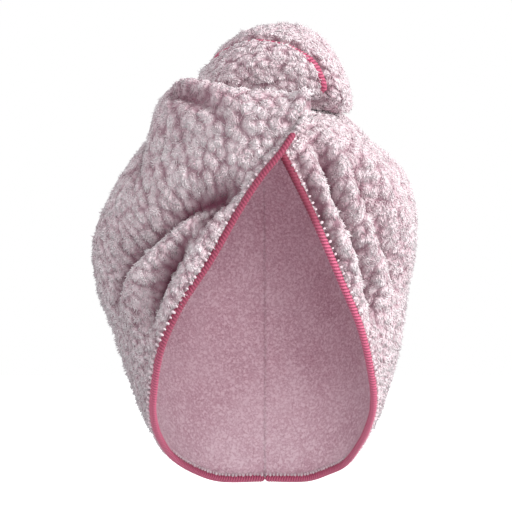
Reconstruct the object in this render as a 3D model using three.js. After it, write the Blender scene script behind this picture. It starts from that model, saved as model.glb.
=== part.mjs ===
import * as THREE from 'three';

// Hair turban as worn, in millimetres: +Z up, +X to the right of the picture, the opening faces -Y.
// The origin is the underside of the crown, where the top of the head rests.

// Driving sizes
const hoodWidth = 220; // across the hood at its fullest, before the folds
const hoodDepth = 210; // front to back, before the folds
const hoodRise = 123; // from the level where the hood is fullest up to the crown
const wallThickness = 3; // fleece of the hood
const seamGap = 0.5; // between pieces that are sewn edge to edge
const layGap = 1.2; // between pieces that lie on one another
const edgeClearance = 1.4; // from the overlocked edge to the end of the cloth
const overlockWidth = 5.2; // overlocked edge, across the cloth
const overlockThickness = 4.4; // overlocked edge, through the cloth
const foldHeight = 8; // tallest pleat
const foldReach = 17; // from the line of a pleat to its foot
const plainEdge = 14; // from the overlocked edge to where the pleats have their full height
const bandRise = 30; // from the overlocked edge to where the band has its full puff
const bandPuff = 21; // how far the front band stands off the hood
const tipCurl = 7; // how far the band's rounded end curls in
const tuckFront = 3; // how far the band's turned edge at the tip steps forward
const tuckDrop = 6; // and how far it hangs past the line of the edge
const tuckReach = 26; // from the edge to where the turned part ends
const bunWidth = 108; // across the bun
const bunHeight = 59; // the bun above the crown
const bunTilt = 2; // how far the bun's top leans to the right
const grooveDepth = 5.5; // spiral fold of the bun
const grooveReach = 11; // from the line of the spiral fold to its foot
const seamWidth = 4.6; // overlocked seam on the bun
const seamThickness = 3.4;
const seamRaise = 4.4; // under the seam, over the line of the spiral fold
const hemNotch = 2.6; // between the two edges at the nape
const buttonDiameter = 24;
const buttonThickness = 5;
const shankDiameter = 9;
const shankLength = 3;

// Divisions of the meshes
const panelSteps = { left: [44, 26], right: [38, 22] };
const sideShare = 0.76; // share of a panel's divisions that lie before the crown
const tailSteps = 40;
const tailTurns = [0, 8, 18, 38, 62, 88, 114, 140, 166, 192, 218, 244, 270, 296, 322, 342, 352];
const seamStart = 4; // divisions of the tail between which its seam runs
const seamEnd = 37;
const beadSides = 6;
const buttonSides = 24;

const halfSize = new THREE.Vector3(hoodWidth / 2, hoodDepth / 2, hoodRise);
const hoodCentre = new THREE.Vector3(0, 0, wallThickness / 2 - hoodRise);
const degree = Math.PI / 180;

// Reach of the hood's middle surface from its centre, as a share of the half sizes, at each height
// angle above the fullest level, for the four sides
const hoodProfile = [
  { height: -66, left: 1.075, front: 1.12, right: 1.07, back: 1.39 },
  { height: -56, left: 1.022, front: 1.08, right: 1.015, back: 1.23 },
  { height: -44, left: 0.978, front: 1.01, right: 0.965, back: 1.07 },
  { height: -32, left: 0.93, front: 0.965, right: 0.912, back: 1.01 },
  { height: -20, left: 0.915, front: 0.945, right: 0.88, back: 1.01 },
  { height: -9, left: 0.93, front: 0.935, right: 0.872, back: 1.025 },
  { height: 3, left: 1.003, front: 0.925, right: 0.888, back: 1.05 },
  { height: 15, left: 1.05, front: 0.95, right: 0.962, back: 1.09 },
  { height: 28, left: 1.066, front: 1.04, right: 1.062, back: 1.12 },
  { height: 40, left: 1.09, front: 1.16, right: 1.112, back: 1.115 },
  { height: 52, left: 1.105, front: 1.18, right: 1.09, back: 1.1 },
  { height: 66, left: 1.02, front: 1.08, right: 1.12, back: 1.07 },
  { height: 90, left: 1, front: 1, right: 1, back: 1 },
];

// The edge of each wing from the crossing on the forehead to the seam at the nape, as shares of the
// half sizes from the hood's centre
const rimRows = {
  left: [
    { across: 0.3, depth: -0.9, rise: 0.99 },
    { across: 0.205, depth: -0.965, rise: 0.905 },
    { across: 0.11, depth: -1, rise: 0.781 },
    { across: -0.019, depth: -0.981, rise: 0.64 },
    { across: -0.155, depth: -0.943, rise: 0.451 },
    { across: -0.304, depth: -0.886, rise: 0.218 },
    { across: -0.495, depth: -0.781, rise: -0.043 },
    { across: -0.61, depth: -0.629, rise: -0.275 },
    { across: -0.663, depth: -0.362, rise: -0.553 },
    { across: -0.659, depth: -0.19, rise: -0.675 },
    { across: -0.624, depth: 0, rise: -0.783 },
    { across: -0.553, depth: 0.229, rise: -0.889 },
    { across: -0.425, depth: 0.438, rise: -0.973 },
    { across: -0.266, depth: 0.571, rise: -1.026 },
    { across: 0.02, depth: 0.686, rise: -1.032 },
  ],
  right: [
    { across: 0.081, depth: -0.87, rise: 0.83 },
    { across: 0.122, depth: -0.89, rise: 0.77 },
    { across: 0.199, depth: -0.925, rise: 0.636 },
    { across: 0.312, depth: -0.914, rise: 0.424 },
    { across: 0.467, depth: -0.838, rise: 0.107 },
    { across: 0.59, depth: -0.714, rise: -0.156 },
    { across: 0.667, depth: -0.476, rise: -0.446 },
    { across: 0.676, depth: -0.305, rise: -0.594 },
    { across: 0.648, depth: -0.133, rise: -0.71 },
    { across: 0.607, depth: 0.029, rise: -0.801 },
    { across: 0.521, depth: 0.286, rise: -0.925 },
    { across: 0.421, depth: 0.438, rise: -0.979 },
    { across: 0.28, depth: 0.571, rise: -1.026 },
    { across: 0.02, depth: 0.686, rise: -1.032 },
  ],
};

// Where each wing ends under the bun, at shares of the way along its edge; only the direction from
// the hood's centre counts. The last row is the top of the seam down the back
const crownRows = {
  left: [
    { along: 0, across: 0.29, depth: -0.9, rise: 1.03 },
    { along: 0.06, across: 0.265, depth: -0.79, rise: 1.13 },
    { along: 0.15, across: 0.19, depth: -0.65, rise: 1.24 },
    { along: 0.3, across: 0.1, depth: -0.52, rise: 1.12 },
    { along: 0.5, across: 0.05, depth: -0.3, rise: 1.08 },
    { along: 0.6, across: 0.02, depth: -0.13, rise: 1.04 },
    { along: 0.68, across: 0, depth: 0, rise: 1 },
    { along: 1, across: 0, depth: 0.38, rise: 1 },
  ],
  right: [
    { along: 0, across: 0.12, depth: -0.8, rise: 1.15 },
    { along: 0.12, across: 0.23, depth: -0.72, rise: 1.14 },
    { along: 0.3, across: 0.18, depth: -0.52, rise: 1.12 },
    { along: 0.5, across: 0.1, depth: -0.3, rise: 1.08 },
    { along: 0.6, across: 0.05, depth: -0.13, rise: 1.04 },
    { along: 0.68, across: 0.012, depth: 0, rise: 1 },
    { along: 1, across: 0, depth: 0.38, rise: 1 },
  ],
};

// Lines of the pleats: bearing from the front and height angle in degrees, lift and reach as shares
// of foldHeight and foldReach; a negative lift is a crease
const foldRows = {
  left: [
    [
      { bearing: -8, height: 36, lift: 0, reach: 0.8 },
      { bearing: -15, height: 33, lift: -0.6, reach: 0.8 },
      { bearing: -29, height: 29, lift: -1.1, reach: 0.9 },
      { bearing: -41, height: 21, lift: -1.2, reach: 1 },
      { bearing: -56, height: 12, lift: -0.9, reach: 1 },
      { bearing: -67, height: 1, lift: -0.4, reach: 1.2 },
      { bearing: -70, height: -6, lift: 0, reach: 1.2 },
    ],
    [
      { bearing: -7, height: 37, lift: 0, reach: 0.6 },
      { bearing: -13, height: 32, lift: -0.5, reach: 0.6 },
      { bearing: -20, height: 27, lift: -0.6, reach: 0.6 },
      { bearing: -26, height: 19, lift: 0, reach: 0.6 },
    ],
    [
      { bearing: -24, height: 27, lift: 0, reach: 0.9 },
      { bearing: -31, height: 22, lift: 0.7, reach: 0.9 },
      { bearing: -42, height: 12, lift: 0.9, reach: 1 },
      { bearing: -52, height: 1, lift: 0.7, reach: 1.1 },
      { bearing: -60, height: -12, lift: 0, reach: 1.1 },
    ],
    [
      { bearing: -25, height: 23, lift: 0, reach: 0.7 },
      { bearing: -32, height: 15, lift: -0.5, reach: 0.7 },
      { bearing: -41, height: 3, lift: -0.6, reach: 0.8 },
      { bearing: -50, height: -12, lift: 0, reach: 0.8 },
    ],
    [
      { bearing: -10, height: 33, lift: 0, reach: 0.7 },
      { bearing: -17, height: 24, lift: 0.5, reach: 0.7 },
      { bearing: -27, height: 9, lift: 0.6, reach: 0.8 },
      { bearing: -36, height: -4, lift: 0.4, reach: 0.9 },
      { bearing: -42, height: -14, lift: 0, reach: 0.9 },
    ],
    [
      { bearing: -20, height: 46, lift: 0.3, reach: 2 },
      { bearing: -40, height: 40, lift: 0.7, reach: 2.2 },
      { bearing: -58, height: 31, lift: 0.8, reach: 2.2 },
      { bearing: -74, height: 19, lift: 0.5, reach: 2 },
      { bearing: -86, height: 6, lift: 0, reach: 1.8 },
    ],
    [
      { bearing: -56, height: 54, lift: 0, reach: 0.5 },
      { bearing: -46, height: 54, lift: -0.5, reach: 0.5 },
      { bearing: -28, height: 53, lift: -0.5, reach: 0.5 },
      { bearing: -10, height: 49, lift: 0, reach: 0.5 },
    ],
    [
      { bearing: -76, height: 58, lift: 0, reach: 0.8 },
      { bearing: -71, height: 52, lift: -0.8, reach: 0.8 },
      { bearing: -59, height: 44, lift: -0.6, reach: 0.8 },
      { bearing: -54, height: 36, lift: -0.3, reach: 0.9 },
      { bearing: -54, height: 29, lift: 0, reach: 0.9 },
    ],
  ],
  right: [
    [
      { bearing: 17, height: 46, lift: 0, reach: 0.6 },
      { bearing: 18, height: 38, lift: 0.7, reach: 0.7 },
      { bearing: 23, height: 28, lift: 1, reach: 0.8 },
      { bearing: 30, height: 19, lift: 1, reach: 0.9 },
      { bearing: 36, height: 8, lift: 0.7, reach: 1 },
      { bearing: 43, height: -6, lift: 0, reach: 1 },
    ],
    [
      { bearing: 22, height: 48, lift: 0, reach: 0.6 },
      { bearing: 25, height: 38, lift: -0.7, reach: 0.7 },
      { bearing: 30, height: 28, lift: -1, reach: 0.8 },
      { bearing: 37, height: 17, lift: -0.9, reach: 0.9 },
      { bearing: 45, height: 2, lift: -0.6, reach: 1 },
      { bearing: 50, height: -10, lift: 0, reach: 1 },
    ],
    [
      { bearing: 27, height: 50, lift: 0.2, reach: 0.7 },
      { bearing: 31, height: 40, lift: 0.9, reach: 0.8 },
      { bearing: 38, height: 30, lift: 1.1, reach: 0.9 },
      { bearing: 46, height: 18, lift: 1, reach: 1 },
      { bearing: 54, height: 4, lift: 0.5, reach: 1.1 },
      { bearing: 60, height: -8, lift: 0, reach: 1.1 },
    ],
    [
      { bearing: 33, height: 44, lift: 0, reach: 0.8 },
      { bearing: 39, height: 34, lift: -0.9, reach: 0.9 },
      { bearing: 48, height: 21, lift: -1, reach: 1 },
      { bearing: 58, height: 11, lift: -0.8, reach: 1.1 },
      { bearing: 68, height: -2, lift: 0, reach: 1.1 },
    ],
    [
      { bearing: 38, height: 46, lift: 0, reach: 1.1 },
      { bearing: 48, height: 37, lift: 0.5, reach: 1.2 },
      { bearing: 58, height: 27, lift: 0.6, reach: 1.3 },
      { bearing: 70, height: 15, lift: 0.3, reach: 1.3 },
      { bearing: 80, height: 4, lift: 0, reach: 1.3 },
    ],
    [
      { bearing: 12, height: 42, lift: 0, reach: 0.5 },
      { bearing: 16, height: 34, lift: -0.5, reach: 0.6 },
      { bearing: 23, height: 21, lift: -0.5, reach: 0.7 },
      { bearing: 30, height: 9, lift: 0, reach: 0.7 },
    ],
  ],
};

// Crest of the front band: height angle of the crest at each bearing, its puff off the hood, its
// push to the front and its rise as shares of bandPuff
const bandRows = [
  { bearing: -84, height: 50, puff: 0, push: 0, rise: 0 },
  { bearing: -72, height: 56, puff: 0, push: 0, rise: 0.1 },
  { bearing: -58, height: 58, puff: 0.2, push: 0.45, rise: 1.1 },
  { bearing: -46, height: 58.5, puff: 0.85, push: 0.75, rise: 0.7 },
  { bearing: -32, height: 59, puff: 1.15, push: 0.75, rise: 0.3 },
  { bearing: -12, height: 59, puff: 1, push: 0.9, rise: 0.05 },
  { bearing: 8, height: 58, puff: 0.95, push: 0.9, rise: 0 },
  { bearing: 24, height: 54, puff: 0.8, push: 0.7, rise: 0 },
  { bearing: 60, height: 50, puff: 0, push: 0, rise: 0 },
];
const bandFrontReach = 22; // degrees from the crest down to the foot of the band
const bandBackReach = 5; // degrees from the crest back to the crown

// Sections of the wound tail: foot of the section on the hood's centre line as an angle over the top from
// the front, lean of the section towards the front in degrees, height above the foot and half width
// as shares of the bun, shift to the right as a share of the bun's width, and the share of the
// section's height that lies under its widest level
const tailRows = [
  { foot: 76, lean: 65, height: 0.41, half: 0.57, shift: 0.105, belly: 0.22 },
  { foot: 76, lean: 55, height: 0.59, half: 0.77, shift: 0.09, belly: 0.18 },
  { foot: 76, lean: 45, height: 0.76, half: 0.92, shift: 0.066, belly: 0.17 },
  { foot: 77, lean: 32, height: 0.9, half: 0.99, shift: 0.05, belly: 0.16 },
  { foot: 79, lean: 16, height: 0.97, half: 1.02, shift: 0.048, belly: 0.16 },
  { foot: 85, lean: 0, height: 0.97, half: 1, shift: 0.042, belly: 0.12 },
  { foot: 95, lean: -12, height: 0.93, half: 0.94, shift: 0.036, belly: 0.16 },
  { foot: 110, lean: -26, height: 0.83, half: 0.84, shift: 0.026, belly: 0.22 },
  { foot: 127, lean: -44, height: 0.68, half: 0.72, shift: 0.015, belly: 0.28 },
  { foot: 146, lean: -64, height: 0.54, half: 0.58, shift: 0, belly: 0.34 },
  { foot: 166, lean: -82, height: 0.42, half: 0.44, shift: -0.01, belly: 0.38 },
  { foot: 186, lean: -96, height: 0.31, half: 0.31, shift: 0, belly: 0.42 },
  { foot: 202, lean: -108, height: 0.21, half: 0.18, shift: 0.01, belly: 0.45 },
];
const endSwell = 2; // how far the tail's two ends bulge

// Line of the spiral fold: share of the way along the tail and angle round the section in degrees
// from its top, positive to the right
const spiralRows = [
  { along: 0.02, turn: 64 },
  { along: 0.083, turn: 56 },
  { along: 0.15, turn: 46 },
  { along: 0.2, turn: 33 },
  { along: 0.24, turn: 14 },
  { along: 0.275, turn: -10 },
  { along: 0.31, turn: -33 },
  { along: 0.37, turn: -52 },
  { along: 0.46, turn: -66 },
  { along: 0.6, turn: -74 },
  { along: 0.76, turn: -66 },
  { along: 0.93, turn: -48 },
];

// Smooth curve through rows of numbers, kept to its end values outside them
function rowCurve(rows, knots, keys) {
  const last = rows.length - 1;
  const slope = (i, key) => {
    const a = Math.max(i - 1, 0);
    const b = Math.min(i + 1, last);
    return (rows[b][key] - rows[a][key]) / (knots[b] - knots[a]);
  };
  return (x) => {
    const at = Math.min(Math.max(x, knots[0]), knots[last]);
    let i = 0;
    while (i < last - 1 && at >= knots[i + 1]) i += 1;
    const span = knots[i + 1] - knots[i];
    const t = (at - knots[i]) / span;
    const rise = t * t * (3 - 2 * t);
    const leave = t * (1 - t) * (1 - t) * span;
    const arrive = -t * t * (1 - t) * span;
    const out = {};
    for (const key of keys) {
      const level = rows[i][key] + (rows[i + 1][key] - rows[i][key]) * rise;
      out[key] = level + leave * slope(i, key) + arrive * slope(i + 1, key);
    }
    return out;
  };
}

function curveByKey(rows, knotKey, keys) {
  return rowCurve(rows, rows.map((row) => row[knotKey]), keys);
}

const swell = (x) => (Math.abs(x) < 1 ? 0.5 + 0.5 * Math.cos(Math.PI * x) : 0);
const ease = (t) => {
  const c = Math.min(Math.max(t, 0), 1);
  return c * c * (3 - 2 * c);
};

function direction(bearing, height) {
  const flat = Math.cos(height * degree);
  return new THREE.Vector3(
    flat * Math.sin(bearing * degree),
    -flat * Math.cos(bearing * degree),
    Math.sin(height * degree),
  );
}

// Point of the hood's middle surface in a direction from its centre
const profileAt = curveByKey(hoodProfile, 'height', ['left', 'front', 'right', 'back']);

function hoodPoint(d) {
  const reach = profileAt(Math.asin(Math.min(Math.max(d.z, -1), 1)) / degree);
  const flat = Math.hypot(d.x, d.y);
  const side = flat > 1e-6 ? (d.x / flat) ** 2 : 0;
  const across = side * (d.x < 0 ? reach.left : reach.right);
  const deep = (1 - side) * (d.y < 0 ? reach.front : reach.back);
  return d.clone().multiplyScalar(across + deep).multiply(halfSize).add(hoodCentre);
}

const unitOf = (p) => p.clone().sub(hoodCentre).divide(halfSize);

function turnBetween(a, b, t) {
  const angle = Math.max(a.angleTo(b), 1e-9);
  const from = Math.sin((1 - t) * angle) / Math.sin(angle);
  const to = Math.sin(t * angle) / Math.sin(angle);
  return a.clone().multiplyScalar(from).addScaledVector(b, to);
}

// Edge of a wing as a curve, and its length
function rimCurve(side) {
  const points = rimRows[side].map(({ across, depth, rise }) =>
    new THREE.Vector3(across, depth, rise).multiply(halfSize).add(hoodCentre));
  const knots = [0];
  for (let i = 1; i < points.length; i += 1) {
    knots.push(knots[i - 1] + points[i].distanceTo(points[i - 1]));
  }
  const length = knots[knots.length - 1];
  const at = rowCurve(points, knots.map((k) => k / length), ['x', 'y', 'z']);
  return { length, at: (u) => { const p = at(u); return new THREE.Vector3(p.x, p.y, p.z); } };
}

// Lift of the pleats at a direction, from the nearest point of each pleat's line
const foldLineSteps = 5;

function foldLine(rows) {
  const at = rowCurve(rows, rows.map((_, i) => i), ['bearing', 'height', 'lift', 'reach']);
  const count = (rows.length - 1) * foldLineSteps;
  return Array.from({ length: count + 1 }, (_, i) => {
    const row = at(i / foldLineSteps);
    return { d: direction(row.bearing, row.height), lift: row.lift, reach: row.reach };
  });
}

const foldLines = {
  left: foldRows.left.map(foldLine),
  right: foldRows.right.map(foldLine),
};

function foldLift(line, d) {
  let nearest = Infinity;
  let found = line[0];
  for (let i = 0; i + 1 < line.length; i += 1) {
    const along = line[i + 1].d.clone().sub(line[i].d);
    const t = Math.min(Math.max(d.clone().sub(line[i].d).dot(along) / along.lengthSq(), 0), 1);
    const gap = line[i].d.clone().addScaledVector(along, t).distanceTo(d);
    if (gap < nearest) {
      nearest = gap;
      found = {
        lift: line[i].lift + (line[i + 1].lift - line[i].lift) * t,
        reach: line[i].reach + (line[i + 1].reach - line[i].reach) * t,
      };
    }
  }
  return foldHeight * found.lift * swell((nearest * halfSize.x) / (foldReach * found.reach));
}

// Share of each wing's edge, from the crossing, over which the whole wing keeps the edge's own stand
// off the hood
const holdShare = { left: 0.16, right: 0.02 };

const bandAt = curveByKey(bandRows, 'bearing', ['height', 'puff', 'push', 'rise']);

// Middle surface of a wing: u runs along its edge from the crossing to the nape, v from the edge to
// the crown
function wing(side) {
  const rim = rimCurve(side);
  const crownAt = curveByKey(crownRows[side], 'along', ['across', 'depth', 'rise']);
  const point = (u, v) => {
    const edge = rim.at(u);
    const edgeWay = unitOf(edge).normalize();
    const top = crownAt(u);
    const topWay = new THREE.Vector3(top.across, top.depth, top.rise).normalize();
    const d = turnBetween(edgeWay, topWay, v);
    const p = hoodPoint(d);
    const hold = 1 - ease(u / holdShare[side]);
    const follow = hold + (1 - hold) * (1 - v) ** 3;
    p.addScaledVector(edge.clone().sub(hoodPoint(edgeWay)), follow);
    const out = d.clone().divide(halfSize).normalize();
    const lift = foldLines[side].reduce((sum, line) => sum + foldLift(line, d), 0);
    const away = v * edgeWay.angleTo(topWay) * halfSize.x;
    p.addScaledVector(out, lift * ease(away / plainEdge));
    if (side === 'left') {
      addBand(p, d, out, u, away);
      addTuck(p, d, edgeWay, u, away);
    }
    return p;
  };
  return { rim, point };
}

// The front band: a puffed crest over the hood, pushed to the front, with a rounded end that curls in
const tipShare = 0.07; // share of the edge over which the end curls in

function addBand(p, d, out, u, away) {
  const bearing = Math.atan2(d.x, -d.y) / degree;
  const height = Math.asin(d.z) / degree;
  const band = bandAt(bearing);
  const past = height - band.height;
  const rise = swell(past / (past > 0 ? bandBackReach : bandFrontReach));
  const body = bandPuff * rise * ease(away / bandRise);
  p.addScaledVector(out, body * band.puff);
  p.y -= body * band.push;
  p.z += body * band.rise;
  const near = Math.max(1 - u / tipShare, 0);
  p.addScaledVector(out, -tipCurl * (1 - Math.sqrt(1 - near * near)) * ease(away / bandRise));
}

// At the tip the edge of the band is turned under and hangs over the start of the overlocked edge
const tuckShare = { full: 0.018, end: 0.05 }; // shares of the edge

function addTuck(p, d, edgeWay, u, away) {
  const body = ease((tuckShare.end - u) / (tuckShare.end - tuckShare.full)) * (1 - ease(away / tuckReach));
  const past = edgeWay.clone().multiply(halfSize).sub(d.clone().multiply(halfSize));
  if (past.lengthSq() < 1e-6) past.set(0, 0, -1);
  p.y -= tuckFront * body;
  p.addScaledVector(past.normalize(), tuckDrop * body);
}

// Outward normal of a surface by small steps, kept level across the middle plane near the seams
// that both wings share
const normalStep = 2e-3;
const seamZone = 0.05;
const topSeam = { from: 0.55, fade: 0.13 }; // shares of the edge beside which the wings meet

function wingNormal(point, u, v) {
  const along = point(Math.min(u + normalStep, 1), v).sub(point(Math.max(u - normalStep, 0), v));
  const up = point(u, Math.min(v + normalStep, 1)).sub(point(u, Math.max(v - normalStep, 0)));
  const normal = along.cross(up).normalize();
  const out = unitOf(point(u, v)).divide(halfSize);
  if (normal.dot(out) < 0) normal.negate();
  const backSeam = ease((u - (1 - seamZone)) / seamZone);
  const overTop = ease((v - (1 - seamZone)) / seamZone) * ease((u - topSeam.from) / topSeam.fade);
  normal.x *= (1 - backSeam) * (1 - overTop);
  return normal.normalize();
}

// Closed solid between two like grids of points; both run i along and j across
function slab(outer, inner) {
  const rows = outer.length;
  const columns = outer[0].length;
  const positions = [];
  for (const grid of [outer, inner]) {
    for (const row of grid) for (const p of row) positions.push(p.x, p.y, p.z);
  }
  const at = (layer, i, j) => layer * rows * columns + i * columns + j;
  const index = [];
  const quad = (a, b, c, d) => index.push(a, b, c, a, c, d);
  for (let i = 0; i + 1 < rows; i += 1) {
    for (let j = 0; j + 1 < columns; j += 1) {
      quad(at(0, i, j), at(0, i + 1, j), at(0, i + 1, j + 1), at(0, i, j + 1));
      quad(at(1, i, j), at(1, i, j + 1), at(1, i + 1, j + 1), at(1, i + 1, j));
    }
    quad(at(0, i, 0), at(1, i, 0), at(1, i + 1, 0), at(0, i + 1, 0));
    const j = columns - 1;
    quad(at(0, i, j), at(0, i + 1, j), at(1, i + 1, j), at(1, i, j));
  }
  for (let j = 0; j + 1 < columns; j += 1) {
    quad(at(0, 0, j), at(0, 0, j + 1), at(1, 0, j + 1), at(1, 0, j));
    const i = rows - 1;
    quad(at(0, i, j), at(1, i, j), at(1, i, j + 1), at(0, i, j + 1));
  }
  return solid(positions, index);
}

// Geometry from points and triangles, turned so that it encloses a positive volume
function solid(positions, index) {
  const corner = (k) => new THREE.Vector3().fromArray(positions, 3 * index[k]);
  let volume = 0;
  for (let k = 0; k < index.length; k += 3) {
    volume += corner(k).dot(corner(k + 1).cross(corner(k + 2)));
  }
  if (volume < 0) index.reverse();
  const geometry = new THREE.BufferGeometry();
  geometry.setAttribute('position', new THREE.Float32BufferAttribute(positions, 3));
  geometry.setIndex(index);
  geometry.computeVertexNormals();
  return geometry;
}

// Shares of the way along a wing's edge where the divisions of its meshes lie
function alongShares(side) {
  const steps = panelSteps[side][0];
  const before = Math.round(steps * sideShare);
  const crown = crownRows[side][crownRows[side].length - 2].along;
  return Array.from({ length: steps + 1 }, (_, i) =>
    (i <= before ? (crown * i) / before : crown + ((1 - crown) * (i - before)) / (steps - before)));
}

// How fast a wing moves away from its edge, square to the edge, per unit of v
const paceStep = 0.02;

function edgePace({ rim, point }, u) {
  const away = point(u, paceStep).sub(point(u, 0)).divideScalar(paceStep);
  const way = rim.at(Math.min(u + paceStep, 1)).sub(rim.at(Math.max(u - paceStep, 0))).normalize();
  return away.cross(way).length();
}

function panelGeometry(side, shape) {
  const { point } = shape;
  const across = panelSteps[side][1];
  const edgeStart = overlockWidth / 2 + edgeClearance;
  const seamShift = ((side === 'left' ? -1 : 1) * seamGap) / 2;
  const outer = [];
  const inner = [];
  for (const u of alongShares(side)) {
    const from = edgeStart / edgePace(shape, u);
    const outerRow = [];
    const innerRow = [];
    for (let j = 0; j <= across; j += 1) {
      const v = from + (1 - from) * (j / across);
      const p = point(u, v);
      if (u === 1 || j === across) p.x += seamShift;
      const n = wingNormal(point, u, v);
      outerRow.push(p.clone().addScaledVector(n, wallThickness / 2));
      innerRow.push(p.clone().addScaledVector(n, -wallThickness / 2));
    }
    outer.push(outerRow);
    inner.push(innerRow);
  }
  return slab(outer, inner);
}

// Closed oval bead along a line of points, each with the direction across the bead
function bead(points, acrossWays, width, thickness) {
  const positions = [];
  const index = [];
  const last = points.length - 1;
  points.forEach((p, i) => {
    const way = points[Math.min(i + 1, last)].clone().sub(points[Math.max(i - 1, 0)]).normalize();
    const thick = way.clone().cross(acrossWays[i]).normalize();
    const wide = thick.clone().cross(way).normalize();
    for (let k = 0; k < beadSides; k += 1) {
      const turn = (2 * Math.PI * k) / beadSides;
      const q = p.clone()
        .addScaledVector(wide, (Math.cos(turn) * width) / 2)
        .addScaledVector(thick, (Math.sin(turn) * thickness) / 2);
      positions.push(q.x, q.y, q.z);
    }
  });
  const at = (i, k) => i * beadSides + (k % beadSides);
  for (let i = 0; i < last; i += 1) {
    for (let k = 0; k < beadSides; k += 1) {
      index.push(at(i, k), at(i, k + 1), at(i + 1, k + 1));
      index.push(at(i, k), at(i + 1, k + 1), at(i + 1, k));
    }
  }
  for (let k = 1; k + 1 < beadSides; k += 1) {
    index.push(at(0, 0), at(0, k + 1), at(0, k));
    index.push(at(last, 0), at(last, k), at(last, k + 1));
  }
  return solid(positions, index);
}

function rimBead(side, { rim, point }) {
  const from = side === 'left' ? tuckShare.end : seamGap / rim.length;
  const to = 1 - hemNotch / 2 / rim.length;
  const points = [];
  const ways = [];
  for (const share of alongShares(side)) {
    const u = from + (to - from) * share;
    points.push(rim.at(u));
    ways.push(point(u, paceStep).sub(point(u, 0)).normalize());
  }
  return bead(points, ways, overlockWidth, overlockThickness);
}

// The twisted tail: s runs from its end behind the band to the tip, turn round the section
const tailKnots = tailRows.map((_, i) => i / (tailRows.length - 1));
const tailAt = rowCurve(tailRows, tailKnots, ['foot', 'lean', 'height', 'half', 'shift', 'belly']);
const spiralAt = curveByKey(spiralRows, 'along', ['turn']);

function tailSection(s) {
  const row = tailAt(s);
  const angle = row.foot * degree;
  const foot = hoodPoint(new THREE.Vector3(0, -Math.cos(angle), Math.sin(angle)));
  const away = unitOf(foot).divide(halfSize).normalize();
  foot.addScaledVector(away, wallThickness / 2 + layGap);
  foot.x = row.shift * bunWidth;
  const lean = row.lean * degree;
  const up = new THREE.Vector3(0, -Math.sin(lean), Math.cos(lean));
  const height = row.height * bunHeight;
  return { angle, away, foot, up, height, belly: row.belly * height, half: (row.half * bunWidth) / 2 };
}

// How far the hood falls away beside its centre line
function hoodFall(angle, away, x) {
  const centre = new THREE.Vector3(0, -Math.cos(angle), Math.sin(angle));
  const beside = centre.clone().setX(x / halfSize.x).normalize();
  return hoodPoint(centre).sub(hoodPoint(beside)).dot(away);
}

// Point of the tail's surface
const halfTurn = 180;
const fullTurn = 360;
const grooveRun = { from: 0.04, to: 0.97, fade: 0.06 }; // shares of the tail that the fold runs along
const leastHalf = 0.2; // share of a section's size that the fold always leaves

const wrapTurn = (turn) => ((((turn + halfTurn) % fullTurn) + fullTurn) % fullTurn) - halfTurn;

function tailPoint(s, turn) {
  const { angle, away, foot, up, height, belly, half } = tailSection(s);
  const side = Math.sin(turn * degree);
  const rise = Math.cos(turn * degree);
  const gap = wrapTurn(turn - spiralAt(s).turn);
  const reach = Math.hypot(half * rise, height * side) * degree;
  const ends = ease((s - grooveRun.from) / grooveRun.fade) * ease((grooveRun.to - s) / grooveRun.fade);
  const dip = grooveDepth * swell((gap * reach) / grooveReach) * ends;
  const lift = rise > 0 ? height - belly : belly;
  const p = foot.clone();
  p.x += side * Math.max(half - dip, half * leastHalf);
  p.x += bunTilt * Math.max(rise, 0) * (height / bunHeight);
  p.addScaledVector(up, belly + rise * Math.max(lift - dip, lift * leastHalf));
  return p.addScaledVector(away, -hoodFall(angle, away, p.x));
}

// Closed body of the tail; its lines follow the spiral fold
const poleStep = 0.04; // share of the tail that gives the way out of each end

function tailGeometry() {
  const round = tailTurns.length;
  const positions = [];
  for (let i = 0; i <= tailSteps; i += 1) {
    const s = i / tailSteps;
    for (const turn of tailTurns) {
      const p = tailPoint(s, spiralAt(s).turn + turn);
      positions.push(p.x, p.y, p.z);
    }
  }
  const pole = (s, next, swellOut) => {
    const { foot, up, height } = tailSection(s);
    const p = foot.clone().addScaledVector(up, height / 2);
    const inside = tailSection(next);
    const way = p.clone().sub(inside.foot).addScaledVector(inside.up, -inside.height / 2).normalize();
    p.addScaledVector(way, swellOut);
    positions.push(p.x, p.y, p.z);
  };
  pole(0, poleStep, endSwell);
  pole(1, 1 - poleStep, endSwell);
  const at = (i, k) => i * round + (k % round);
  const poles = (tailSteps + 1) * round;
  const index = [];
  for (let k = 0; k < round; k += 1) {
    for (let i = 0; i < tailSteps; i += 1) {
      index.push(at(i, k), at(i, k + 1), at(i + 1, k + 1));
      index.push(at(i, k), at(i + 1, k + 1), at(i + 1, k));
    }
    index.push(poles, at(0, k + 1), at(0, k));
    index.push(poles + 1, at(tailSteps, k), at(tailSteps, k + 1));
  }
  return solid(positions, index);
}

// The overlocked seam lies in the spiral fold
const seamSample = { turn: 3, along: 0.01 }; // steps that give the ways across and along the seam

function tailBead() {
  const points = [];
  const ways = [];
  for (let i = seamStart; i <= seamEnd; i += 1) {
    const s = i / tailSteps;
    const { turn } = spiralAt(s);
    const here = tailPoint(s, turn);
    const across = tailPoint(s, turn + seamSample.turn).sub(tailPoint(s, turn - seamSample.turn));
    const next = s + seamSample.along;
    const ahead = tailPoint(next, spiralAt(next).turn).sub(here).normalize();
    across.addScaledVector(ahead, -across.dot(ahead)).normalize();
    const middle = tailSection(s);
    const centre = middle.foot.clone().addScaledVector(middle.up, middle.belly);
    const out = across.clone().cross(ahead).normalize();
    if (out.dot(here.clone().sub(centre)) < 0) out.negate();
    points.push(here.addScaledVector(out, seamThickness / 2 + seamRaise));
    ways.push(across);
  }
  return bead(points, ways, seamWidth, seamThickness);
}

// Button with the elastic loop round its shank, on the centre seam below the tip of the tail
const buttonPlace = { bearing: 180, height: -38, sample: 2 }; // degrees, on the back

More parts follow.
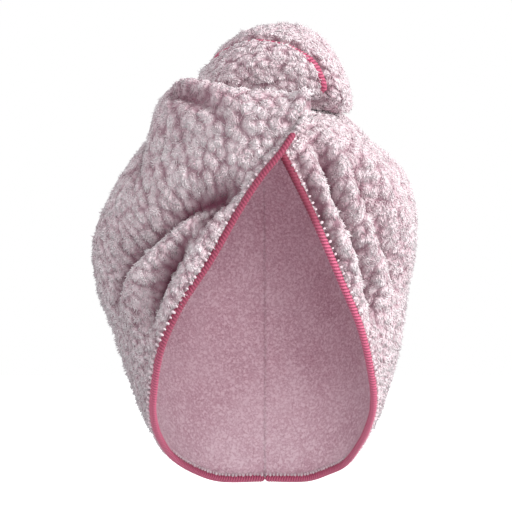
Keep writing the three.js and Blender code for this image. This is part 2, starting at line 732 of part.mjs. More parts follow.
// Outline from the seat up: the elastic's rings as shares of the shank's radius and length, then the
// button's as shares of its own radius and thickness
const loopRows = [
  { radius: 1.5, height: 0 },
  { radius: 1.8, height: 0.5 },
  { radius: 1.5, height: 1 },
];
const buttonRows = [
  { radius: 0.92, height: 0 },
  { radius: 1, height: 0.35 },
  { radius: 0.9, height: 0.8 },
  { radius: 0.6, height: 1 },
];

function buttonGeometry() {
  const { bearing, height, sample } = buttonPlace;
  const seat = hoodPoint(direction(bearing, height));
  const below = hoodPoint(direction(bearing, height - sample));
  const near = hoodPoint(direction(bearing, height + sample)).sub(below);
  const away = near.cross(new THREE.Vector3(1, 0, 0)).normalize();
  if (away.y < 0) away.negate();
  const top = shankLength + buttonThickness;
  const rings = [
    ...loopRows.map((row) => ({ x: (row.radius * shankDiameter) / 2, y: row.height * shankLength })),
    ...buttonRows.map((row) => ({
      x: (row.radius * buttonDiameter) / 2,
      y: shankLength + row.height * buttonThickness,
    })),
  ];
  const positions = [];
  const index = [];
  const side = new THREE.Vector3(1, 0, 0);
  const along = away.clone().cross(side).normalize();
  const base = seat.clone().addScaledVector(away, wallThickness / 2 + layGap);
  const put = (r, h, turn) => {
    const p = base.clone().addScaledVector(away, h)
      .addScaledVector(side, r * Math.cos(turn)).addScaledVector(along, r * Math.sin(turn));
    positions.push(p.x, p.y, p.z);
  };
  for (const { x, y } of rings) {
    for (let k = 0; k < buttonSides; k += 1) put(x, y, (2 * Math.PI * k) / buttonSides);
  }
  put(0, 0, 0);
  put(0, top, 0);
  const at = (i, k) => i * buttonSides + (k % buttonSides);
  const poles = rings.length * buttonSides;
  for (let k = 0; k < buttonSides; k += 1) {
    for (let i = 0; i + 1 < rings.length; i += 1) {
      index.push(at(i, k), at(i, k + 1), at(i + 1, k + 1));
      index.push(at(i, k), at(i + 1, k + 1), at(i + 1, k));
    }
    index.push(poles, at(0, k + 1), at(0, k));
    index.push(poles + 1, at(rings.length - 1, k), at(rings.length - 1, k + 1));
  }
  return solid(positions, index);
}

function fabric(colour) {
  return new THREE.MeshStandardMaterial({ color: colour, roughness: 0.95, metalness: 0 });
}

const group = new THREE.Group();
group.name = 'hair_turban_towel';

function add(name, geometry, material) {
  const mesh = new THREE.Mesh(geometry, material);
  mesh.name = name;
  group.add(mesh);
}

const wings = { left: wing('left'), right: wing('right') };
add('left_panel', panelGeometry('left', wings.left), fabric(0xdfc4cc));
add('right_panel', panelGeometry('right', wings.right), fabric(0xe2c8cf));
add('twisted_tail', tailGeometry(), fabric(0xe2c8cf));
add('rim_overlock_left', rimBead('left', wings.left), fabric(0xd0608a));
add('rim_overlock_right', rimBead('right', wings.right), fabric(0xd0608a));
add('tail_overlock', tailBead(), fabric(0xd0608a));
add('nape_fastener', buttonGeometry(), new THREE.MeshStandardMaterial({ color: 0xd98aa5, roughness: 0.5 }));

export default group;
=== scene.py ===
import math

import bpy
import numpy as np
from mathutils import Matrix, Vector


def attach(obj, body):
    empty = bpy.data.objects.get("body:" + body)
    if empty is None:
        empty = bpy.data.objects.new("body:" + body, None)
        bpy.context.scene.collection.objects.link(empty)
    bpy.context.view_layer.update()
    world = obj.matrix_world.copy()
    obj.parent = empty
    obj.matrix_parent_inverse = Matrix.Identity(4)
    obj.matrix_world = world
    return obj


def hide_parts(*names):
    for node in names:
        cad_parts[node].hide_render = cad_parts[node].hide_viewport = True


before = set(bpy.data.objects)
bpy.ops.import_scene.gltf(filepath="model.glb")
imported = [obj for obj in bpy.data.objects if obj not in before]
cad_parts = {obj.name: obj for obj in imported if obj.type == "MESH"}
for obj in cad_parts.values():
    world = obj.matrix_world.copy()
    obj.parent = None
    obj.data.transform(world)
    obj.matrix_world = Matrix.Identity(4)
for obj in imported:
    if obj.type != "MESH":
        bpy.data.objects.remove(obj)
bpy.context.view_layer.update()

mm = 0.001
degree = math.pi / 180
tiny = 1e-12  # keeps a division by nothing away
chance = np.random.default_rng(7)  # every random draw comes from here, in the order of the script
print("frame loaded")


# Curves and directions

# Smooth curve through the rows of a table of named columns. It keeps its end values outside them.
# Each stretch is a cubic whose end slopes come from the two neighbouring rows.
def curveThrough(table, key):
    knots = np.array(table[key], float)
    columns = {name: np.array(values, float) for name, values in table.items() if name != key}
    before = np.maximum(np.arange(len(knots)) - 1, 0)
    after = np.minimum(np.arange(len(knots)) + 1, len(knots) - 1)
    slopes = {n: (c[after] - c[before]) / (knots[after] - knots[before]) for n, c in columns.items()}

    def at(x):
        x = np.clip(x, knots[0], knots[-1])
        i = np.clip(np.searchsorted(knots, x, "right") - 1, 0, len(knots) - 2)
        span = knots[i + 1] - knots[i]
        t = (x - knots[i]) / span
        found = {}
        for name, c in columns.items():
            level = c[i] + (c[i + 1] - c[i]) * t * t * (3 - 2 * t)
            leave = t * (1 - t) ** 2 * span * slopes[name][i]
            arrive = t * t * (1 - t) * span * slopes[name][i + 1]
            found[name] = level + leave - arrive
        return found

    return at


# Smooth step from 0 to 1: three times t squared less twice t cubed
def ease(t):
    t = np.clip(t, 0, 1)
    return t * t * (3 - 2 * t)


# Raised cosine: 1 at nothing, 0 from 1 away
def swell(x):
    return np.where(np.abs(x) < 1, 0.5 + 0.5 * np.cos(np.pi * x), 0.0)


# Vectors divided by their lengths
def unit(v):
    return v / np.maximum(np.linalg.norm(v, axis=-1, keepdims=True), tiny)


# Dot product of two fields of vectors, kept as one column
def dot(a, b):
    return (a * b).sum(-1, keepdims=True)


# Unit vector at a bearing from the front and a height angle, both in degrees
def direction(bearing, height):
    b, h = bearing * degree, height * degree
    return np.stack([np.cos(h) * np.sin(b), -np.cos(h) * np.cos(b), np.sin(h)], -1)


# The hood: half sizes of its middle surface in millimetres, and its reach as a share of them at each
# height angle above the fullest level, on the four sides
hood = {
    "halfSize": (110, 105, 123),
    "wall": 3,
    "profile": {
        "height": (-66, -56, -44, -32, -20, -9, 3, 15, 28, 40, 52, 66, 90),
        "left": (1.075, 1.022, 0.978, 0.93, 0.915, 0.93, 1.003, 1.05, 1.066, 1.09, 1.105, 1.02, 1),
        "front": (1.12, 1.08, 1.01, 0.965, 0.945, 0.935, 0.925, 0.95, 1.04, 1.16, 1.18, 1.08, 1),
        "right": (1.07, 1.015, 0.965, 0.912, 0.88, 0.872, 0.888, 0.962, 1.062, 1.112, 1.09, 1.12, 1),
        "back": (1.39, 1.23, 1.07, 1.01, 1.01, 1.025, 1.05, 1.09, 1.12, 1.115, 1.1, 1.07, 1),
    },
}
halfSize = np.array(hood["halfSize"], float)
hoodCentre = np.array([0, 0, hood["wall"] / 2 - halfSize[2]])
profileAt = curveThrough(hood["profile"], "height")


# Point of the hood in a direction: the direction stretched by the reach, which goes smoothly from side
# to side with the square of the direction's share across
def hoodPoint(d):
    reach = profileAt(np.arcsin(np.clip(d[..., 2], -1, 1)) / degree)
    flat = d[..., 0] ** 2 + d[..., 1] ** 2
    side = np.where(flat > tiny, d[..., 0] ** 2 / np.maximum(flat, tiny), 0)
    across = side * np.where(d[..., 0] < 0, reach["left"], reach["right"])
    deep = (1 - side) * np.where(d[..., 1] < 0, reach["front"], reach["back"])
    return d * (across + deep)[..., None] * halfSize + hoodCentre


# Place of a point from the hood's centre as shares of the half sizes
def shareOf(p):
    return (p - hoodCentre) / halfSize


# Great-circle turn from direction a to direction b: the two weighed by the sines of the angles left
def turnBetween(a, b, t):
    leastAngle = 1e-9
    angle = np.maximum(np.arccos(np.clip(dot(a, b), -1, 1)), leastAngle)
    return (np.sin((1 - t) * angle) * a + np.sin(t * angle) * b) / np.sin(angle)


# Both wings: the line of the edge from the crossing on the forehead to the nape as shares of the half
# sizes, where the wing ends under the bun along that edge, and the lines of its pleats by bearing from
# the front and height angle, with lift and reach as shares of the fold's. A pleat that goes in ends in a
# narrow crease, which is full where the lift times creaseGain reaches 1
wings = {
    "foldHeight": 10.5,
    "foldReach": 17,
    "foldSteps": 5,
    "plainEdge": 14,
    "sideShare": 0.76,
    "followPower": 3,
    "creaseGain": 1.6,
    "creaseReach": 4.4,
    "creaseDepth": 3.6,
    "left": {
        "steps": (440, 130),
        "edge": {
            "across": (0.3, 0.205, 0.11, -0.019, -0.155, -0.304, -0.495, -0.61, -0.663, -0.659,
                       -0.624, -0.553, -0.425, -0.266, 0.02),
            "depth": (-0.9, -0.965, -1, -0.981, -0.943, -0.886, -0.781, -0.629, -0.362, -0.19,
                      0, 0.229, 0.438, 0.571, 0.686),
            "rise": (0.99, 0.905, 0.781, 0.64, 0.451, 0.218, -0.043, -0.275, -0.553, -0.675,
                     -0.783, -0.889, -0.973, -1.026, -1.032),
        },
        "crown": {
            "along": (0, 0.06, 0.15, 0.3, 0.5, 0.6, 0.68, 1),
            "across": (0.29, 0.265, 0.19, 0.1, 0.05, 0.02, 0, 0),
            "depth": (-0.9, -0.79, -0.65, -0.52, -0.3, -0.13, 0, 0.38),
            "rise": (1.03, 1.13, 1.24, 1.12, 1.08, 1.04, 1, 1),
        },
        "hold": 0.16,
        "folds": [
            {"bearing": (-8, -15, -29, -41, -56, -67, -70), "height": (36, 33, 29, 21, 12, 1, -6),
             "lift": (0, -0.6, -1.1, -1.2, -0.9, -0.4, 0), "reach": (0.8, 0.8, 0.9, 1, 1, 1.2, 1.2)},
            {"bearing": (-7, -13, -20, -26), "height": (37, 32, 27, 19),
             "lift": (0, -0.5, -0.6, 0), "reach": (0.6, 0.6, 0.6, 0.6)},
            {"bearing": (-24, -31, -42, -52, -60), "height": (27, 22, 12, 1, -12),
             "lift": (0, 0.7, 0.9, 0.7, 0), "reach": (0.9, 0.9, 1, 1.1, 1.1)},
            {"bearing": (-25, -32, -41, -50), "height": (23, 15, 3, -12),
             "lift": (0, -0.5, -0.6, 0), "reach": (0.7, 0.7, 0.8, 0.8)},
            {"bearing": (-10, -17, -27, -36, -42), "height": (33, 24, 9, -4, -14),
             "lift": (0, 0.5, 0.6, 0.4, 0), "reach": (0.7, 0.7, 0.8, 0.9, 0.9)},
            {"bearing": (-20, -40, -58, -74, -86), "height": (46, 40, 31, 19, 6),
             "lift": (0.3, 0.7, 0.8, 0.5, 0), "reach": (2, 2.2, 2.2, 2, 1.8)},
            {"bearing": (-56, -46, -28, -10), "height": (54, 54, 53, 49),
             "lift": (0, -0.5, -0.5, 0), "reach": (0.5, 0.5, 0.5, 0.5)},
            {"bearing": (-76, -71, -59, -54, -54), "height": (58, 52, 44, 36, 29),
             "lift": (0, -0.8, -0.6, -0.3, 0), "reach": (0.8, 0.8, 0.8, 0.9, 0.9)},
        ],
    },
    "right": {
        "steps": (400, 120),
        "edge": {
            "across": (0.081, 0.122, 0.199, 0.312, 0.467, 0.59, 0.667, 0.676, 0.648, 0.607, 0.521,
                       0.421, 0.28, 0.02),
            "depth": (-0.87, -0.89, -0.925, -0.914, -0.838, -0.714, -0.476, -0.305, -0.133, 0.029,
                      0.286, 0.438, 0.571, 0.686),
            "rise": (0.83, 0.77, 0.636, 0.424, 0.107, -0.156, -0.446, -0.594, -0.71, -0.801, -0.925,
                     -0.979, -1.026, -1.032),
        },
        "crown": {
            "along": (0, 0.12, 0.3, 0.5, 0.6, 0.68, 1),
            "across": (0.12, 0.23, 0.18, 0.1, 0.05, 0.012, 0),
            "depth": (-0.8, -0.72, -0.52, -0.3, -0.13, 0, 0.38),
            "rise": (1.15, 1.14, 1.12, 1.08, 1.04, 1, 1),
        },
        "hold": 0.02,
        "folds": [
            {"bearing": (17, 18, 23, 30, 36, 43), "height": (46, 38, 28, 19, 8, -6),
             "lift": (0, 0.7, 1, 1, 0.7, 0), "reach": (0.6, 0.7, 0.8, 0.9, 1, 1)},
            {"bearing": (22, 25, 30, 37, 45, 50), "height": (48, 38, 28, 17, 2, -10),
             "lift": (0, -0.7, -1, -0.9, -0.6, 0), "reach": (0.6, 0.7, 0.8, 0.9, 1, 1)},
            {"bearing": (27, 31, 38, 46, 54, 60), "height": (50, 40, 30, 18, 4, -8),
             "lift": (0.2, 0.9, 1.1, 1, 0.5, 0), "reach": (0.7, 0.8, 0.9, 1, 1.1, 1.1)},
            {"bearing": (33, 39, 48, 58, 68), "height": (44, 34, 21, 11, -2),
             "lift": (0, -0.9, -1, -0.8, 0), "reach": (0.8, 0.9, 1, 1.1, 1.1)},
            {"bearing": (38, 48, 58, 70, 80), "height": (46, 37, 27, 15, 4),
             "lift": (0, 0.5, 0.6, 0.3, 0), "reach": (1.1, 1.2, 1.3, 1.3, 1.3)},
            {"bearing": (12, 16, 23, 30), "height": (42, 34, 21, 9),
             "lift": (0, -0.5, -0.5, 0), "reach": (0.5, 0.6, 0.7, 0.7)},
        ],
    },
}

# The front band of the left wing: height angle of its crest at each bearing, its puff off the hood, its
# push to the front and its rise as shares of the puff, how its end curls in, how its edge there is
# turned under and hangs over the start of the overlocked edge, and how the end is rounded and closed
band = {
    "puff": 21,
    "frontReach": 22,
    "backReach": 5,
    "rise": 30,
    "tipCurl": 7,
    "tipShare": 0.07,
    "tuckFront": 3,
    "tuckDrop": 6,
    "tuckReach": 26,
    "tuckFull": 0.018,
    "tuckEnd": 0.05,
    "roundShare": 0.06,
    "roundOut": 6,
    "roundBack": 7,
    "roundMiddle": 15,
    "closeDepth": 17,
    "crest": {
        "bearing": (-84, -72, -58, -46, -32, -12, 8, 24, 60),
        "height": (50, 56, 58, 58.5, 59, 59, 58, 54, 50),
        "puff": (0, 0, 0.2, 0.85, 1.15, 1, 0.95, 0.8, 0),
        "push": (0, 0, 0.45, 0.75, 0.75, 0.9, 0.9, 0.7, 0),
        "lift": (0, 0.1, 1.1, 0.7, 0.3, 0.05, 0, 0, 0),
    },
}
crestAt = curveThrough(band["crest"], "bearing")


# Edge of a wing in millimetres, by share of its length
def edgeLine(side):
    rows = np.stack([np.array(wings[side]["edge"][k]) for k in ("across", "depth", "rise")], -1)
    rows = rows * halfSize + hoodCentre
    knots = np.concatenate([[0], np.cumsum(np.linalg.norm(np.diff(rows, axis=0), axis=1))])
    x, y, z = rows.T
    at = curveThrough({"share": knots / knots[-1], "x": x, "y": y, "z": z}, "share")

    def point(u):
        p = at(u)
        return np.stack([p["x"], p["y"], p["z"]], -1)

    return point, knots[-1]


# Lift of one pleat: a raised cosine of the distance to the nearest point of its line. With it the narrow
# crease at the bottom of a pleat that goes in, from 0 to 1, which falls off as a bell curve. The crease
# also sets where the fleece and fibres take painted shade
def foldLift(fold, d):
    rows = len(fold["bearing"])
    at = curveThrough({"row": range(rows), **fold}, "row")
    line = at(np.linspace(0, rows - 1, (rows - 1) * wings["foldSteps"] + 1))
    way = direction(line["bearing"], line["height"])
    nearest = np.full(d.shape[:-1], np.inf)
    lift = np.zeros(d.shape[:-1])
    reach = np.ones(d.shape[:-1])
    for i in range(len(way) - 1):
        along = way[i + 1] - way[i]
        t = np.clip(((d - way[i]) @ along) / (along @ along), 0, 1)
        gap = np.linalg.norm(way[i] + t[..., None] * along - d, axis=-1)
        closer = gap < nearest
        nearest = np.where(closer, gap, nearest)
        liftHere, reachHere = (line[k][i] + (line[k][i + 1] - line[k][i]) * t for k in ("lift", "reach"))
        lift = np.where(closer, liftHere, lift)
        reach = np.where(closer, reachHere, reach)
    gap = nearest * halfSize[0]
    crease = np.clip(-wings["creaseGain"] * lift, 0, 1) * np.exp(-(gap / wings["creaseReach"]) ** 2)
    return wings["foldHeight"] * lift * swell(gap / (wings["foldReach"] * reach)), crease


# The band's share in a point of the left wing: the puff off the hood is a raised cosine across the crest,
# the tip curls in as a quarter circle, the edge's start is turned under along the way from the wing to
# it, and the end is pushed to the side, rounded at the back and closed towards the head
def puffBand(p, d, edgeWay, out, away, u):
    onEdge = 1e-6
    crest = crestAt(np.arctan2(d[..., 0], -d[..., 1]) / degree)
    past = np.arcsin(np.clip(d[..., 2], -1, 1)) / degree - crest["height"]
    body = band["puff"] * swell(past / np.where(past > 0, band["backReach"], band["frontReach"]))
    body = body * ease(away / band["rise"])
    near = np.maximum(1 - u / band["tipShare"], 0)
    curl = band["tipCurl"] * (1 - np.sqrt(1 - near ** 2)) * ease(away / band["rise"])
    p = p + out * (body * crest["puff"] - curl)[..., None]
    p[..., 1] -= body * crest["push"]
    p[..., 2] += body * crest["lift"]
    turned = ease((band["tuckEnd"] - u) / (band["tuckEnd"] - band["tuckFull"]))
    turned = turned * (1 - ease(away / band["tuckReach"]))
    under = (edgeWay - d) * halfSize
    under = np.where(dot(under, under) < onEdge, np.array([0, 0, -1.0]), under)
    p[..., 1] -= band["tuckFront"] * turned
    p = p + unit(under) * (band["tuckDrop"] * turned)[..., None]
    end = np.maximum(1 - u / band["roundShare"], 0) ** 2
    full = swell((away - band["roundMiddle"]) / band["roundMiddle"])
    within = ease(away / band["roundMiddle"])
    p[..., 0] += end * (band["roundOut"] * full - band["roundBack"] * (1 - within))
    p[..., 1] += band["closeDepth"] * end * within
    return p


# Middle surface of a wing: u runs along its edge from the crossing to the nape, v from the edge to the
# crown. The hood's point follows the edge near it, then the pleats lift it and the band puffs it out.
# It gives the points, their directions from the hood's centre and how deep in a crease they lie
def wingPoint(side, edgePoint, crownAt, u, v):
    edge = edgePoint(u)
    edgeWay = unit(shareOf(edge))
    top = crownAt(u)
    topWay = unit(np.stack([top["across"], top["depth"], top["rise"]], -1))
    d = turnBetween(edgeWay, topWay, v[..., None])
    hold = 1 - ease(u / wings[side]["hold"])
    follow = hold + (1 - hold) * (1 - v) ** wings["followPower"]
    p = hoodPoint(d) + (edge - hoodPoint(edgeWay)) * follow[..., None]
    out = unit(d / halfSize)
    angle = np.arccos(np.clip((edgeWay * topWay).sum(-1), -1, 1))
    away = v * angle * halfSize[0]
    lifts, creases = zip(*(foldLift(fold, d) for fold in wings[side]["folds"]))
    inward = ease(away / wings["plainEdge"])
    crease = np.max(creases, axis=0) * inward
    p = p + out * (sum(lifts) * inward - wings["creaseDepth"] * crease)[..., None]
    if side == "left":
        p = puffBand(p, d, edgeWay, out, away, u)
    return p, d, crease


# Outward normals of a grid of points: the cross product of its two slopes, turned to the given side
def gridNormals(p, out):
    normal = unit(np.cross(np.gradient(p, axis=0), np.gradient(p, axis=1)))
    return np.where(dot(normal, out) < 0, -normal, normal)


# The knitted pile: nubs in staggered rows round a tilted pole. A row holds as many nubs as its length
# allows, so that the nubs stay alike all over. tall is the least height and what chance adds, round the
# gap at which a nub starts to fall and its foot, as shares of the pitch
nubs = {
    "pitch": 5.6,
    "rowPitch": 5.0,
    "jitter": 0.7,
    "height": 1.8,
    "sink": 1.8,
    "round": (0.2, 0.78),
    "tall": (0.7, 0.3),
    "radius": 112,
    "poleAngle": 1.5,
    "tilt": {"left": 34, "right": -26},
}


# A number from 0 to 1 that is always the same for the same two whole numbers: what stands behind the
# point of a large multiple of a sine
def scatter(a, b, seed, scales=(12.9898, 78.233, 37.719), gain=43758.5453):
    value = np.sin(a * scales[0] + b * scales[1] + seed * scales[2]) * gain
    return value - np.floor(value)


# Height from 0 between the nubs to 1 on them, from the distance to the nearest nub's middle. place is
# a length along the rows' stack, turnShare the share of the way round, and girth the way round in a row
def nubField(place, turnShare, girth, localGirth):
    base = np.round(place / nubs["rowPitch"])
    nearest = np.full(place.shape, np.inf)
    tall = np.zeros(place.shape)
    least, more = nubs["tall"]
    for step in (-1, 0, 1):
        row = base + step
        count = np.maximum(np.round(girth(row * nubs["rowPitch"]) / nubs["pitch"]), 1)
        at = turnShare * count + 0.5 * np.mod(row, 2)
        for side in (-1, 0, 1):
            cell = np.floor(at) + side
            number = np.mod(cell, count)
            shiftA = (scatter(row, number, 1) - 0.5) * nubs["jitter"]
            shiftB = (scatter(row, number, 2) - 0.5) * nubs["jitter"]
            a = (cell + 0.5 + shiftA - at) / count * localGirth
            b = (row + shiftB) * nubs["rowPitch"] - place
            gap = np.hypot(a, b) / nubs["pitch"]
            tall = np.where(gap < nearest, least + more * scatter(row, number, 3), tall)
            nearest = np.minimum(nearest, gap)
    core, foot = nubs["round"]
    return tall * (1 - ease((nearest - core) / (foot - core)))


# Nubs of a wing: the rows are rings round a pole that is tilted to that side
def hoodNubs(side, d):
    tilt = nubs["tilt"][side] * degree
    x = d[..., 0] * math.cos(tilt) + d[..., 2] * math.sin(tilt)
    z = d[..., 2] * math.cos(tilt) - d[..., 0] * math.sin(tilt)
    height = np.arcsin(np.clip(z, -1, 1))
    radius = nubs["radius"]
    share = np.arctan2(x, -d[..., 1]) / (2 * np.pi) + 0.5

    def girth(place):
        return 2 * np.pi * radius * np.cos(np.clip(place / radius, -nubs["poleAngle"], nubs["poleAngle"]))

    return nubField(height * radius, share, girth, 2 * np.pi * radius * np.cos(height))


# Meshes

# A mesh of triangles with its values at the points, in metres and turned outwards: where the sum of the
# corners' triple products is negative, all faces are turned round
def makePiece(name, points, faces, materials, faceMaterial=None, values=None):
    points = np.asarray(points, float)
    a, b, c = (points[faces[:, i]] for i in range(3))
    if (a * np.cross(b, c)).sum() < 0:
        faces = faces[:, ::-1]
    mesh = bpy.data.meshes.new(name)
    mesh.vertices.add(len(points))
    mesh.vertices.foreach_set("co", (points * mm).astype(np.float32).ravel())
    mesh.loops.add(faces.size)
    mesh.loops.foreach_set("vertex_index", faces.astype(np.int32).ravel())
    mesh.polygons.add(len(faces))
    mesh.polygons.foreach_set("loop_start", np.arange(0, faces.size, 3, dtype=np.int32))
    mesh.polygons.foreach_set("use_smooth", np.ones(len(faces), bool))
    if faceMaterial is not None:
        mesh.polygons.foreach_set("material_index", faceMaterial.astype(np.int32))
    mesh.update(calc_edges=True)
    for key, value in (values or {}).items():
        attribute = mesh.attributes.new(key, "FLOAT", "POINT")
        attribute.data.foreach_set("value", value.astype(np.float32).ravel())
    for material in materials:
        mesh.materials.append(material)
    piece = bpy.data.objects.new(name, mesh)
    bpy.context.scene.collection.objects.link(piece)
    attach(piece, "root")
    print(f"{name}: {len(faces)} triangles")
    return piece


# Triangles of a grid of rows by columns; wrap joins the last column to the first
def gridFaces(rows, columns, wrap=False):
    i, k = np.meshgrid(np.arange(rows - 1), np.arange(columns if wrap else columns - 1), indexing="ij")
    a, b = i * columns + k, i * columns + (k + 1) % columns
    c, d = b + columns, a + columns
    return np.concatenate([np.stack(t, -1).reshape(-1, 3) for t in ((a, b, c), (a, c, d))])


# Two fans that close the ends of a tube of rows by around points; the ends' middles are the last points
def endFaces(rows, around):
    ring = np.arange(around)
    nextRing = (ring + 1) % around
    first, base = rows * around, (rows - 1) * around
    head = np.stack([np.full(around, first), nextRing, ring], -1)
    foot = np.stack([np.full(around, first + 1), base + ring, base + nextRing], -1)
    return [head, foot]


# Strip between a line of points and one with half as many steps
def stripFaces(fine, coarse):
    a, b, c = fine[:-2:2], fine[1:-1:2], fine[2::2]
    p, q = coarse[:-1], coarse[1:]
    return np.concatenate([np.stack(t, -1) for t in ((a, p, b), (b, p, q), (b, q, c))])


# Materials

# A socket with Python's own signs on it: each sign adds a Math node
class Socket:
    def __init__(self, nodes, socket):
        self.nodes = nodes
        self.socket = socket

    def math(self, kind, *others):
        return self.nodes.add("ShaderNodeMath", {"operation": kind}, dict(enumerate((self, *others))))[0]

    # A noise's share in a sum: it swings to both sides of nothing
    def swing(self, share):
        return (self - 0.5) * share

    def __add__(self, other):
        return self.math("ADD", other)

    def __sub__(self, other):
        return self.math("SUBTRACT", other)

    def __mul__(self, other):
        return self.math("MULTIPLY", other)

    def __rsub__(self, other):
        return self * -1 + other

    __radd__ = __add__
    __rmul__ = __mul__


# Numbers of the sockets that are picked below, where a node has several of one name
socketNumbers = {"objectPlace": 3, "factor": 2, "mixA": 6, "mixB": 7, "mixColour": 2}


# A material's nodes: add puts in a node by its type, its settings and then what its inputs get, and
# gives back its outputs
class Finish:
    def __init__(self, name):
        self.material = bpy.data.materials.new(name)
        self.material.use_nodes = True
        self.tree = self.material.node_tree
        self.tree.nodes.clear()

    def add(self, kind, settings=None, inputs=None):
        node = self.tree.nodes.new(kind)
        for key, value in (settings or {}).items():
            setattr(node, key, value)
        for key, value in (inputs or {}).items():
            if isinstance(value, Socket):
                self.tree.links.new(value.socket, node.inputs[key])
            else:
                node.inputs[key].default_value = value
        return [Socket(self, output) for output in node.outputs]

    def place(self):
        return self.add("ShaderNodeTexCoord")[socketNumbers["objectPlace"]]

    def value(self, name):
        return self.add("ShaderNodeAttribute", {"attribute_name": name})[socketNumbers["factor"]]

    def noise(self, scale, detail=2, roughness=0.5):
        inputs = {"Vector": self.place(), "Scale": scale, "Detail": detail, "Roughness": roughness}
        return self.add("ShaderNodeTexNoise", None, inputs)[0]

    def mix(self, factor, a, b):
        inputs = {0: factor, socketNumbers["mixA"]: a, socketNumbers["mixB"]: b}
        return self.add("ShaderNodeMix", {"data_type": "RGBA"}, inputs)[socketNumbers["mixColour"]]

    # 0 where the value is low or less, 1 where it is high or more
    def spread(self, value, low, high):
        return self.add("ShaderNodeMapRange", {"clamp": True}, {0: value, 1: low, 2: high})[0]

    def bump(self, height, strength, distance):
        inputs = {"Height": height, "Strength": strength, "Distance": distance}
        return self.add("ShaderNodeBump", None, inputs)[0]

    def finish(self, inputs):
        shader = self.add("ShaderNodeBsdfPrincipled", None, inputs)[0]
        self.add("ShaderNodeOutputMaterial", None, {0: shader})
        return self.material


# Screen colour to the linear numbers that a shader takes, by the sRGB curve
def colour(red, green, blue):
    share = np.array([red, green, blue]) / 255
    linear = np.where(share <= 0.04045, share / 12.92, ((share + 0.055) / 1.055) ** 2.4)
    return (*linear.tolist(), 1)


tones = {
    "crest": colour(240, 226, 230),
    "flank": colour(208, 182, 190),
    # the depth tone is painted shade down between the nubs
    "depth": colour(158, 124, 135),
    # the crease tone is painted shade in the creases and along the tail's groove
    "crease": colour(120, 64, 84),
    "fibre": colour(246, 236, 239),
    # the root tone is painted shade at the fibres' roots, within the pile
    "fibreRoot": colour(190, 150, 163),
    "lining": colour(252, 226, 235),
    "liningDark": colour(206, 156, 174),
    "thread": colour(222, 106, 142),
    # the next tone is painted shade between the thread's ribs
    "threadGrooveShade": colour(120, 28, 58),
    # the next tone is painted shade towards the top of the rims and along the tail's seam
    "threadShadeTone": colour(120, 30, 56),
    "nib": colour(246, 230, 235),
    "button": colour(214, 132, 160),
    "buttonPale": colour(226, 150, 176),
}


# What each finish is made of: noises as scale, detail and roughness, shares of them in a sum, spans that
# are spread over two tones, strength and distance of the bump, and the shader's own numbers
cloth = {"Roughness": 0.95, "Sheen Weight": 0.3, "Sheen Roughness": 0.5, "Specular IOR Level": 0.15}
finishes = {
    "fleece": {
        "grain": (900, 3, 0.6), "cloud": (28, 2), "depthGrain": 0.35, "depthSpan": (0.02, 0.5),
        "shadeGrain": 0.5, "shadeCloud": 0.3, "shadeSpan": (0.45, 0.95), "bump": (0.7, 0.0009),
        "shader": {**cloth, "Sheen Weight": 0.35},
    },
    "fibre": {
        "tint": 0.6, "span": (0.05, 0.85), "crease": 0.85,
        "shader": {**cloth, "Roughness": 0.9},
    },
    "lining": {
        "grain": (620, 4, 0.7), "fine": (1400, 2, 0.6), "cloud": (34, 3), "parting": (330, 2, 0.6),
        "grainShare": 0.7, "fineShare": 0.3, "cloudShare": 0.35, "partingShare": 1.6,
        "span": (0.38, 0.74), "bump": (0.7, 0.0008), "bumpFine": 0.5, "shader": cloth,
    },
    "thread": {
        "fine": (2200, 2), "fineShare": 0.3, "span": (0.25, 0.9), "bump": (0.5, 0.0003),
        "shader": {"Roughness": 0.55, "Sheen Weight": 0.15, "Specular IOR Level": 0.35},
    },
    "nib": {
        "fine": (1800, 2), "span": (0.35, 0.65),
        "shader": {**cloth, "Roughness": 0.9, "Sheen Weight": 0.2},
    },
    "button": {
        "fine": (240, 3), "span": (0.3, 0.7), "bump": (0.15, 0.0002),
        "shader": {"Roughness": 0.42, "Coat Weight": 0.15},
    },
}


# Fleece between the fibres: paler on the nub tops, partly the pile's own paler tips and partly painted
# light, with painted shade down between the nubs and the darkest painted shade in the creases
def fleeceFinish(look):
    f = Finish("fleece")
    pile = f.value("pile")
    grain = f.noise(*look["grain"])
    cloud = f.noise(*look["cloud"])
    # painted shade: the fleece falls to the depth tone down between the nubs, where the pile's shade lies
    depth = f.spread(pile + grain.swing(look["depthGrain"]), *look["depthSpan"])
    shade = pile + grain.swing(look["shadeGrain"]) + cloud.swing(look["shadeCloud"])
    base = f.mix(f.spread(shade, *look["shadeSpan"]), tones["flank"], tones["crest"])
    base = f.mix(depth, tones["depth"], base)
    # painted shade: the creases take the dark crease tone
    base = f.mix(f.value("crease"), base, tones["crease"])
    return f.finish({"Base Color": base, "Normal": f.bump(grain, *look["bump"]), **look["shader"]})


# Fibres: from the darker root to the pale tip, paler on the nubs and darker in the creases, each with its
# own tint. The darker roots are painted shade within the pile, and the pale tips are partly the fibres'
# own colour
def fibreFinish(look):
    f = Finish("fleece fibres")
    shade = f.value("tip") + f.value("tint").swing(look["tint"])
    base = f.mix(f.spread(shade, *look["span"]), tones["fibreRoot"], tones["fibre"])
    # painted shade: fibres in the creases lean to the crease tone
    base = f.mix(f.value("crease") * look["crease"], base, tones["crease"])
    return f.finish({"Base Color": base, **look["shader"]})


